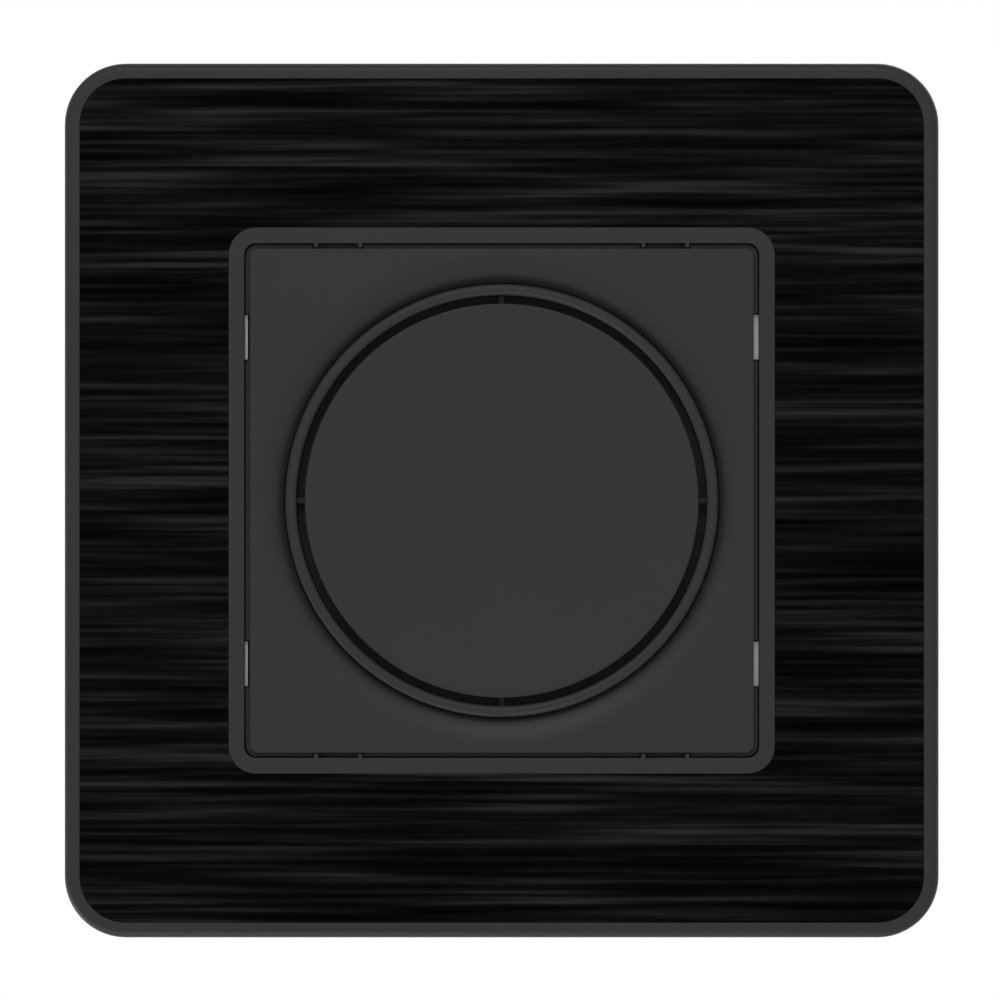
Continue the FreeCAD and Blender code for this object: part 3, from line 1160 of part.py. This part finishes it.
fuse_tube = new_body("fuse_tube")
fuse_caps = new_body("fuse_caps")
fuse_clips = new_body("fuse_clips")
LEFT_CAP = "(-Dim.fuse_length / 2)"
RIGHT_CAP = "(Dim.fuse_length / 2 - Dim.fuse_cap_length)"
pad(fuse_tube, "glass", f"{LEFT_CAP} + Dim.fuse_cap_length", RIGHT_CAP,
    lambda s: draw_fuse(s, "Dim.fuse_radius - Dim.fuse_cap_thick"), "YZ_Plane")
for name, start in (("left", LEFT_CAP), ("right", RIGHT_CAP)):
    pad(fuse_caps, f"{name}_cap", start, f"{start} + Dim.fuse_cap_length",
        lambda s: draw_fuse(s, "Dim.fuse_radius"), "YZ_Plane")
    pad(fuse_clips, f"{name}_clip", f"{start} + Dim.clip_inset",
        f"{start} + Dim.fuse_cap_length - Dim.clip_inset", draw_clip, "YZ_Plane")

control_chip = new_body("control_chip")
pad(control_chip, "block", BOARD_FRONT, f"{BOARD_FRONT} + Dim.chip_tall",
    lambda s: draw_box(s, f"{BESIDE_POT} - Dim.chip_wide / 2", "-Dim.chip_long / 2",
                       f"{BESIDE_POT} + Dim.chip_wide / 2", "Dim.chip_long / 2"))

smoothing_capacitor = new_body("smoothing_capacitor")
pad(smoothing_capacitor, "can", BOARD_FRONT, f"{BOARD_FRONT} + Dim.buffer_tall",
    lambda s: draw_circle(s, f"-{BESIDE_POT}", "0", "Dim.buffer_radius"))


# Every object must have been rebuilt without an error before anything is written

doc.recompute()
for item in doc.Objects:
    if "Invalid" in item.State or "Error" in item.State:
        raise RuntimeError(f"{item.Label} could not be rebuilt: {item.State}")
    if item.TypeId in ("PartDesign::Pocket", "PartDesign::Groove"):
        if item.Shape.Volume > item.BaseFeature.Shape.Volume - 1e-6:
            raise RuntimeError(f"{item.Label} cuts nothing")
for body in bodies:
    if body.Shape.isNull() or not body.Shape.isValid():
        raise RuntimeError(f"{body.Label} has no valid shape")

os.makedirs("parts", exist_ok=True)
for body in bodies:
    body.Shape.exportStep(f"parts/{body.Label}.step")
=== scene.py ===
import json
import math

import bmesh
import bpy
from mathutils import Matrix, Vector


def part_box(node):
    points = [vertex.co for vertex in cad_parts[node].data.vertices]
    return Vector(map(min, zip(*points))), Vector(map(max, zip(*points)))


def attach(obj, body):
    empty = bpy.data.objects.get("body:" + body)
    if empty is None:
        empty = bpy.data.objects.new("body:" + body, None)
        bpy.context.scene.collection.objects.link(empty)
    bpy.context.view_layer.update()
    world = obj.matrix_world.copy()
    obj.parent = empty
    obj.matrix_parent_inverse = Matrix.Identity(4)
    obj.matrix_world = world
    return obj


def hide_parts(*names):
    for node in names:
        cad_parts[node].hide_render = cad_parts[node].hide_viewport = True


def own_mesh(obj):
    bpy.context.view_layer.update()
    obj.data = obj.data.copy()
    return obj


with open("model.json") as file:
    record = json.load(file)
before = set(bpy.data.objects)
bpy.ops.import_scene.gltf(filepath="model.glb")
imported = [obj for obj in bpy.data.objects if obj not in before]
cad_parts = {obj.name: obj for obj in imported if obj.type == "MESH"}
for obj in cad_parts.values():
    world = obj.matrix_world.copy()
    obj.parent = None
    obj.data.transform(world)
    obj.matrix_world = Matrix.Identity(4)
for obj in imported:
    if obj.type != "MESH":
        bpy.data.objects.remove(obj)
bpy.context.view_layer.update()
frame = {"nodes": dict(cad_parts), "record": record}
nodes = frame["nodes"]

MM = 0.001
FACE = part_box("centre_plate")[0].y          # plane of the centre plate's face


# Shared by all pieces

def linked(name, data):
    """New object of the scene with that data."""
    thing = bpy.data.objects.new(name, data)
    bpy.context.scene.collection.objects.link(thing)
    return thing


def smooth_mesh(name, work):
    """Smoothly shaded mesh of the faces in work, which is freed."""
    mesh = bpy.data.meshes.new(name)
    bmesh.ops.recalc_face_normals(work, faces=work.faces)
    work.to_mesh(mesh)
    work.free()
    mesh.shade_smooth()
    return mesh


def stands_for(piece, node, body, materials):
    """Puts a piece in place of one CAD node, with the node's own finish."""
    slot = next(e["material_slot"] for e in frame["record"]["subparts"] if e["node"] == node)
    piece.data.materials.clear()
    piece.data.materials.append(materials[slot])
    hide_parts(node)
    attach(piece, body)


# Turned pieces: profiles are closed loops of (radius, y) round an axis along Y

ROUND_STEPS = 256
ON_AXIS = 1e-7              # radius below which a point of a profile lies on the axis
SHARP_FROM = 40             # degrees between faces


def arc(radius, y, size, start, stop, steps=8):
    """Points of an arc about (radius, y), with angles in degrees from outwards towards +Y."""
    turns = [math.radians(start + (stop - start) * i / steps) for i in range(steps + 1)]
    return [(radius + size * math.cos(t), y + size * math.sin(t)) for t in turns]


def turned(name, profile, centre=(0, 0), steps=ROUND_STEPS):
    """Smooth turned piece about the line parallel to Y through centre, given as x and z."""
    work = bmesh.new()
    rings = []
    for radius, y in profile:
        count = steps if radius > ON_AXIS else 1
        rings.append([
            work.verts.new((centre[0] + radius * math.cos(2 * math.pi * i / count), y,
                            centre[1] + radius * math.sin(2 * math.pi * i / count)))
            for i in range(count)
        ])
    for ring, following in zip(rings, rings[1:] + rings[:1]):
        for i in range(max(len(ring), len(following))):
            corners = [ring[i % len(ring)], ring[(i + 1) % len(ring)],
                       following[(i + 1) % len(following)], following[i % len(following)]]
            corners = list(dict.fromkeys(corners))
            if len(corners) > 2:
                work.faces.new(corners)
    mesh = smooth_mesh(name, work)
    mesh.set_sharp_from_angle(angle=math.radians(SHARP_FROM))
    return linked(name, mesh)


def joined(name, pieces):
    """One piece made of several."""
    bpy.ops.object.select_all(action="DESELECT")
    for piece in pieces:
        piece.select_set(True)
    bpy.context.view_layer.objects.active = pieces[0]
    bpy.ops.object.join()
    pieces[0].name = name
    return pieces[0]


CAP_THICK = 1.7 * MM
CAP_ROUND = 0.12 * MM
CAP_HOLLOW = 0.55 * MM
CAP_RINGS = 40              # steps of the hollow face from its edge to the middle
HUB_RADIUS = 4.8 * MM       # the pegs stand halfway between the hub and the cap's edge
PEG_RADIUS = 1.25 * MM
PEG_TURNS = (30, 150, 270)  # degrees
PEG_STEPS = 48


def face_cap(materials):
    """Dial's cap: a disc with a faintly hollow face, a rounded edge and three pegs behind."""
    low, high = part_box("dial_cap")
    radius = high.x
    front = low.y
    rear = front + CAP_THICK
    edge = radius - CAP_ROUND
    hollow = [(edge * i / CAP_RINGS, front + CAP_HOLLOW * (1 - (i / CAP_RINGS) ** 2))
              for i in range(CAP_RINGS)]
    rim = arc(edge, front + CAP_ROUND, CAP_ROUND, -90, 0)
    pieces = [turned("cap_disc", hollow + rim + [(radius, rear), (0, rear)])]
    circle = (HUB_RADIUS + radius) / 2
    peg = [(0, rear), (PEG_RADIUS, rear), (PEG_RADIUS, high.y), (0, high.y)]
    for turn in PEG_TURNS:
        place = (circle * math.cos(math.radians(turn)), circle * math.sin(math.radians(turn)))
        pieces.append(turned("cap_peg", peg, place, PEG_STEPS))
    stands_for(joined("smooth_face_cap", pieces), "dial_cap", "dial", materials)


THREAD_PITCH = 0.75 * MM
THREAD_DEEP = 0.4 * MM
VALLEY_AT = 0.5             # share of the pitch
RIDGE_AT = 0.9              # share of the pitch at which the next ridge begins
FLANGE_RADIUS = 7.0 * MM
FLANGE_THICK = 1.5 * MM
SPIGOT_RADIUS = 4.5 * MM
BUSH_RADIUS = 5.0 * MM
BUSH_BORE = 3.05 * MM
BUSH_STEPS = 96


def thread(radius, start, stop):
    """Ridges and valleys of a thread from start to stop, with a chamfer at its end."""
    ridges = int(abs(stop - start) / THREAD_PITCH)
    pitch = (stop - start) / ridges
    points = [(radius, start)]
    for i in range(ridges):
        points.append((radius - THREAD_DEEP, start + pitch * (i + VALLEY_AT)))
        points.append((radius, start + pitch * (i + RIDGE_AT)))
        points.append((radius, start + pitch * (i + 1)))
    points[-1] = (radius - THREAD_DEEP, stop)
    return points


def bushing_with_thread(materials):
    """Bushing of the control shaft, with its flange, spigot and cut thread."""
    low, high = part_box("threaded_bushing")
    profile = [(BUSH_BORE, high.y), (SPIGOT_RADIUS, high.y), (SPIGOT_RADIUS, FLANGE_THICK),
               (FLANGE_RADIUS, FLANGE_THICK), (FLANGE_RADIUS, 0)]
    profile += thread(BUSH_RADIUS, 0, low.y) + [(BUSH_BORE, low.y)]
    piece = turned("bushing_with_thread", profile, steps=BUSH_STEPS)
    stands_for(piece, "threaded_bushing", "fixed", materials)


WINDING_TURNS = 12
WINDING_STEPS = 64
WIRE_SHOWN = 80             # degrees of the wire's outside that stand out, to each side
WIRE_STEPS = 6


def wound_choke(materials):
    """Winding of the choke, with each of its outer turns standing out."""
    low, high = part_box("choke_winding")
    centre = ((low.x + high.x) / 2, (low.z + high.z) / 2)
    outer = (high.x - low.x) / 2
    wire = (high.y - low.y) / WINDING_TURNS / 2
    profile = [(outer - 2 * wire, high.y), (outer - 2 * wire, low.y)]
    for i in range(WINDING_TURNS):
        profile += arc(outer - wire, low.y + wire * (2 * i + 1), wire,
                       -WIRE_SHOWN, WIRE_SHOWN, WIRE_STEPS)
    piece = turned("wound_choke", profile, centre, WINDING_STEPS)
    stands_for(piece, "choke_winding", "fixed", materials)


# Ring of the dial: a copy of its own solid with a few surfaces moved

RING_CREST = 0.45 * MM      # outer half of the ring's crest
RING_BAND = 1.0 * MM        # front of the ring, from its outside to the groove
RING_GROWS = 0.1 * MM
BAND_SHRINKS = 0.06 * MM
LEVELS_MOVED = (            # reach inwards from the outside, depth behind the crest, way rearwards
    (1.9 * MM, 1.35 * MM, 0.65 * MM),       # tops of the nubs
    (2.5 * MM, 3.85 * MM, 0.7 * MM),        # floor of the channel
    (3.6 * MM, 4.95 * MM, 0.7 * MM),        # rear of that floor
)
NEAR = 0.01 * MM


def fitted_dial_ring(materials):
    """Ring of the dial with a finer running gap, a wider crest, a deeper channel and lower nubs."""
    low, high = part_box("dial_ring")
    outside = high.x
    mesh = nodes["dial_ring"].data.copy()
    for vertex in mesh.vertices:
        place = vertex.co
        radius = math.hypot(place.x, place.z)
        for reach, depth, deeper in LEVELS_MOVED:
            if radius > outside - reach and abs(place.y - low.y - depth) < NEAR:
                place.y += deeper
                break
        if radius > outside - RING_BAND:
            wider = RING_GROWS if radius > outside - RING_CREST else -BAND_SHRINKS
            place.x *= 1 + wider / radius
            place.z *= 1 + wider / radius
    stands_for(linked("fitted_dial_ring", mesh), "dial_ring", "dial", materials)


# Return spring: a wire coiled round the axis along Y

SPRING_RADIUS = 2.5 * MM    # to the middle of the wire
SPRING_WIRE = 0.3 * MM      # radius of the wire
SPRING_TURNS = 4
TURN_STEPS = 32
WIRE_SIDES = 10


def coiled_spring(materials):
    """Return spring behind the plunger, drawn at its full length."""
    low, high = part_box("return_spring")
    first = low.y + SPRING_WIRE
    climb = (high.y - SPRING_WIRE - first) / (SPRING_TURNS * TURN_STEPS)
    work = bmesh.new()
    rings = []
    for i in range(SPRING_TURNS * TURN_STEPS + 1):
        turn = -2 * math.pi * i / TURN_STEPS
        ring = []
        for j in range(WIRE_SIDES):
            side = 2 * math.pi * j / WIRE_SIDES
            radius = SPRING_RADIUS + SPRING_WIRE * math.cos(side)
            ring.append(work.verts.new((radius * math.cos(turn),
                                        first + climb * i + SPRING_WIRE * math.sin(side),
                                        radius * math.sin(turn))))
        rings.append(ring)
    for ring, following in zip(rings, rings[1:]):
        for j in range(WIRE_SIDES):
            work.faces.new([ring[j - 1], ring[j], following[j], following[j - 1]])
    work.faces.new(rings[0])
    work.faces.new(rings[-1])
    spring = linked("coiled_return_spring", smooth_mesh("coiled_return_spring", work))
    stands_for(spring, "return_spring", "fixed", materials)
    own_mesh(spring)


# Node materials: every finish is worked out from the surface's own place in metres

class Finish:
    """A material whose nodes start from object coordinates."""

    def __init__(self, name, roughness, metallic=0.0, specular=0.5):
        self.material = bpy.data.materials.new(name)
        self.material.use_nodes = True
        self.tree = self.material.node_tree
        self.shader = self.tree.nodes["Principled BSDF"]
        self.shader.inputs["Roughness"].default_value = roughness
        self.shader.inputs["Metallic"].default_value = metallic
        self.shader.inputs["Specular IOR Level"].default_value = specular
        self.place = self.tree.nodes.new("ShaderNodeTexCoord").outputs["Object"]

    def link(self, source, target):
        self.tree.links.new(source, target)

    def stretched(self, size):
        """Object coordinates divided by a size in metres along each axis."""
        mapping = self.tree.nodes.new("ShaderNodeMapping")
        mapping.inputs["Scale"].default_value = [1 / s for s in size]
        self.link(self.place, mapping.inputs["Vector"])
        return mapping.outputs["Vector"]

    def noise(self, size, detail=2.0):
        """Noise with features of about that size, from 0 to 1."""
        texture = self.tree.nodes.new("ShaderNodeTexNoise")
        texture.inputs["Scale"].default_value = 1.0
        texture.inputs["Detail"].default_value = detail
        self.link(self.stretched(size), texture.inputs["Vector"])
        return texture.outputs["Fac"]

    def cells(self, size):
        """Distance from the middle of cells of about that size."""
        texture = self.tree.nodes.new("ShaderNodeTexVoronoi")
        texture.inputs["Scale"].default_value = 1.0
        self.link(self.stretched(size), texture.inputs["Vector"])
        return texture.outputs["Distance"]

    def blend(self, first, second, share):
        """Mean of two values, weighted towards the second by share."""
        node = self.tree.nodes.new("ShaderNodeMix")
        node.inputs["Factor"].default_value = share
        self.link(first, node.inputs["A"])
        self.link(second, node.inputs["B"])
        return node.outputs["Result"]

    def tone(self, value, stops):
        """Base colour from a value, with stops given as position and colour."""
        ramp = self.tree.nodes.new("ShaderNodeValToRGB")
        elements = ramp.color_ramp.elements
        while len(elements) < len(stops):
            elements.new(0.5)
        for element, (position, colour) in zip(elements, stops):
            element.position = position
            element.color = (*colour, 1.0)
        self.link(value, ramp.inputs["Fac"])
        self.link(ramp.outputs["Color"], self.shader.inputs["Base Color"])

    def gloss(self, value, low, high):
        """Roughness from a value, brought to the range from low to high."""
        node = self.tree.nodes.new("ShaderNodeMapRange")
        node.inputs["To Min"].default_value = low
        node.inputs["To Max"].default_value = high
        self.link(value, node.inputs["Value"])
        self.link(node.outputs["Result"], self.shader.inputs["Roughness"])

    def relief(self, height, depth):
        """Bumps from a height value, with their depth in metres."""
        node = self.tree.nodes.new("ShaderNodeBump")
        node.inputs["Strength"].default_value = 1.0
        node.inputs["Distance"].default_value = depth
        self.link(height, node.inputs["Height"])
        self.link(node.outputs["Normal"], self.shader.inputs["Normal"])


def cube(size):
    """The same size along all three axes."""
    return (size, size, size)


def grey(level):
    """Neutral colour of that linear level."""
    return (level, level, level)


DARK_AT = 0.3               # values of a noise that count as its dark and its light end
LIGHT_AT = 0.7


def mottled(colour, darkest, lightest):
    """Stops from a colour times darkest to the same colour times lightest."""
    return [(position, tuple(channel * factor for channel in colour))
            for position, factor in ((DARK_AT, darkest), (LIGHT_AT, lightest))]


CLOUD_SIZE = 9 * MM
CLOUD_GLOSS = 0.03
MARK_GLOSS = 0.06


def moulded_plastic(name, colour, roughness, grain=0.25 * MM, relief=0.004 * MM, specular=0.5):
    """Plastic from a fine-textured mould, with faint clouds in tone and gloss."""
    finish = Finish(name, roughness, specular=specular)
    clouds = finish.noise(cube(CLOUD_SIZE), detail=3.0)
    finish.tone(clouds, mottled(colour, 0.95, 1.05))
    finish.gloss(clouds, roughness - CLOUD_GLOSS, roughness + CLOUD_GLOSS)
    finish.relief(finish.noise(cube(grain)), relief)
    return finish.material


def brushed_black_metal(name):
    """Black metal brushed from side to side, with long faint streaks."""
    finish = Finish(name, 0.42, metallic=1.0)
    fine = finish.noise((22 * MM, 22 * MM, 0.52 * MM), detail=1.5)
    broad = finish.noise((36 * MM, 36 * MM, 1.5 * MM))
    streaks = finish.blend(fine, broad, 0.42)
    finish.tone(streaks, [
        (0.36, grey(0.0012)), (0.48, grey(0.0031)), (0.56, grey(0.0064)), (0.70, grey(0.0195)),
    ])
    finish.gloss(streaks, 0.42, 0.28)
    finish.relief(streaks, 0.01 * MM)
    return finish.material


def bare_metal(name, colour, roughness, grain, relief=0.004 * MM):
    """Metal with fine marks of its making; grain is their size along each axis."""
    finish = Finish(name, roughness, metallic=1.0)
    marks = finish.noise(grain, detail=3.0)
    finish.tone(marks, mottled(colour, 0.85, 1.1))
    finish.gloss(marks, roughness - MARK_GLOSS, roughness + MARK_GLOSS)
    finish.relief(marks, relief)
    return finish.material


def zinc_coated(name):
    """Galvanised sheet with its soft spangle."""
    finish = Finish(name, 0.42, metallic=1.0)
    spangle = finish.blend(finish.cells(cube(2.5 * MM)), finish.noise(cube(0.8 * MM)), 0.5)
    finish.tone(spangle, [(0.2, (0.32, 0.33, 0.34)), (0.8, (0.47, 0.48, 0.50))])
    finish.gloss(spangle, 0.34, 0.5)
    finish.relief(finish.noise(cube(0.5 * MM), detail=3.0), 0.006 * MM)
    return finish.material


def clear_glass(name):
    """Clear glass tube."""
    finish = Finish(name, 0.05)
    finish.shader.inputs["Transmission Weight"].default_value = 1.0
    waves = finish.noise(cube(3 * MM))
    finish.tone(waves, [(DARK_AT, (0.90, 0.94, 0.93)), (LIGHT_AT, (0.96, 0.98, 0.97))])
    finish.relief(waves, 0.003 * MM)
    return finish.material


# Plastics as slot, colour, roughness and what differs from a plain moulding
PLASTICS = (
    ("anthracite_plastic", grey(0.013), 0.46, {"specular": 0.25}),
    ("housing_plastic", grey(0.035), 0.52, {"specular": 0.3}),
    ("board_laminate", (0.03, 0.16, 0.05), 0.3, {"grain": 1 * MM}),
    ("black_moulding", grey(0.012), 0.38, {}),
    ("white_plastic", (0.66, 0.65, 0.62), 0.4, {}),
    ("carbon_track", grey(0.02), 0.6, {}),
    ("ferrite", (0.05, 0.05, 0.055), 0.55, {"grain": 0.15 * MM, "relief": 0.01 * MM}),
    ("capacitor_film", (0.55, 0.36, 0.03), 0.3, {}),
    ("capacitor_sleeve", (0.012, 0.02, 0.06), 0.28, {}),
)
# Metals as slot, colour, roughness, size of the marks along each axis and what differs
METALS = (
    ("turned_steel", (0.55, 0.55, 0.56), 0.28, cube(0.3 * MM), {}),
    ("turned_brass", (0.60, 0.42, 0.16), 0.28, (2 * MM, 0.2 * MM, 2 * MM), {}),
    ("plated_brass", (0.62, 0.57, 0.46), 0.32, cube(0.4 * MM), {}),
    ("copper_wire", (0.62, 0.25, 0.09), 0.25, (6 * MM, 0.5 * MM, 6 * MM), {"relief": 0.08 * MM}),
    ("sink_aluminium", (0.70, 0.70, 0.72), 0.34, (0.4 * MM, 8 * MM, 0.4 * MM), {}),
)


def finishes():
    """One material for each material slot of the record."""
    materials = {
        "brushed_black_metal": brushed_black_metal("brushed_black_metal"),
        "galvanised_steel": zinc_coated("galvanised_steel"),
        "fuse_glass": clear_glass("fuse_glass"),
    }
    for slot, colour, roughness, special in PLASTICS:
        materials[slot] = moulded_plastic(slot, colour, roughness, **special)
    for slot, colour, roughness, grain, special in METALS:
        materials[slot] = bare_metal(slot, colour, roughness, grain, **special)
    return materials


def dress_nodes(materials):
    """Gives each CAD node the finish of its slot."""
    for entry in frame["record"]["subparts"]:
        node = nodes[entry["node"]]
        material = materials[entry["material_slot"]]
        if not node.material_slots:
            node.data.materials.append(material)
        for slot in node.material_slots:
            slot.material = material


# Studio: white surroundings, a pale floor well below, soft lamps and a long lens

WORLD_LIGHT = 0.7
FLOOR_DROP = 0.62
FLOOR_HALF = 1.1
FLOOR_TONE = 0.8
FLOOR_ROUGH = 0.9
FLOOR_GLOSS = 0.1
FLOOR_LIFT = 0.3            # lifts the floor to the white of the surroundings, shadows aside
LAMPS = (                   # name, place and width in metres, power in watts
    ("top", (-0.08, -0.95, 0.48), 0.34, 2.25),
    ("low", (-0.1, -0.3, -0.55), 0.4, 1.3),
    ("edge", (-0.7, 0.05, -0.5), 0.3, 2.5),
    ("back", (0.5, 0.9, 0.5), 0.8, 8.0),
)
LENS = 400.0                # mm, on a sensor 36 mm wide: nearly without perspective
SENSOR = 36.0
VIEW_WIDTH = 0.0972         # metres across the picture, in the plane of the faces
AIM_X = -0.000165           # the switch hangs a little right of the picture's middle
AIM_Z = 0.00005             # and a little below it


def seen_rays(tree):
    """1 for rays from the camera and for mirrored and refracted ones, and 0 for all others."""
    path = tree.nodes.new("ShaderNodeLightPath")
    seen = path.outputs["Is Camera Ray"]
    for kind in ("Is Glossy Ray", "Is Transmission Ray"):
        either = tree.nodes.new("ShaderNodeMath")
        either.operation = "MAXIMUM"
        tree.links.new(seen, either.inputs[0])
        tree.links.new(path.outputs[kind], either.inputs[1])
        seen = either.outputs[0]
    return seen


def white_surroundings():
    """White where it is seen directly or mirrored, and a plain soft light elsewhere."""
    world = bpy.data.worlds.new("studio")
    bpy.context.scene.world = world
    world.use_nodes = True
    tree = world.node_tree
    background = tree.nodes["Background"]
    strength = tree.nodes.new("ShaderNodeMapRange")
    strength.inputs["To Min"].default_value = WORLD_LIGHT
    strength.inputs["To Max"].default_value = 1.0
    tree.links.new(seen_rays(tree), strength.inputs["Value"])
    background.inputs["Color"].default_value = (1, 1, 1, 1)
    tree.links.new(strength.outputs["Result"], background.inputs["Strength"])


def pale_floor():
    """Floor under the hanging switch, as white as the surroundings, out of the front view."""
    bpy.ops.mesh.primitive_plane_add(size=2 * FLOOR_HALF, location=(0, 0, -FLOOR_DROP))
    floor = bpy.context.object
    floor.name = "studio_floor"
    material = bpy.data.materials.new("studio_floor")
    material.use_nodes = True
    tree = material.node_tree
    shader = tree.nodes["Principled BSDF"]
    shader.inputs["Base Color"].default_value = (*grey(FLOOR_TONE), 1)
    shader.inputs["Roughness"].default_value = FLOOR_ROUGH
    shader.inputs["Specular IOR Level"].default_value = FLOOR_GLOSS
    shader.inputs["Emission Color"].default_value = (1, 1, 1, 1)
    lift = tree.nodes.new("ShaderNodeMath")
    lift.operation = "MULTIPLY"
    lift.inputs[1].default_value = FLOOR_LIFT
    tree.links.new(seen_rays(tree), lift.inputs[0])
    tree.links.new(lift.outputs[0], shader.inputs["Emission Strength"])
    floor.data.materials.append(material)


def soft_lamp(name, place, size, power):
    """Square area lamp aimed at the switch."""
    data = bpy.data.lights.new(name, "AREA")
    data.size = size
    data.energy = power
    lamp = linked(name, data)
    lamp.location = place
    lamp.rotation_euler = (-Vector(place)).to_track_quat("-Z", "Y").to_euler()


def front_camera():
    """Camera straight in front of the switch."""
    data = bpy.data.cameras.new("front_camera")
    data.lens = LENS
    data.sensor_width = SENSOR
    camera = linked("front_camera", data)
    distance = VIEW_WIDTH * LENS / SENSOR
    camera.location = (AIM_X, FACE - distance, AIM_Z)
    camera.rotation_euler = (math.pi / 2, 0, 0)
    bpy.context.scene.camera = camera


materials = finishes()
dress_nodes(materials)
face_cap(materials)
fitted_dial_ring(materials)
bushing_with_thread(materials)
wound_choke(materials)
coiled_spring(materials)
white_surroundings()
pale_floor()
for lamp in LAMPS:
    soft_lamp(*lamp)
front_camera()

bpy.context.scene.view_settings.view_transform = "Standard"
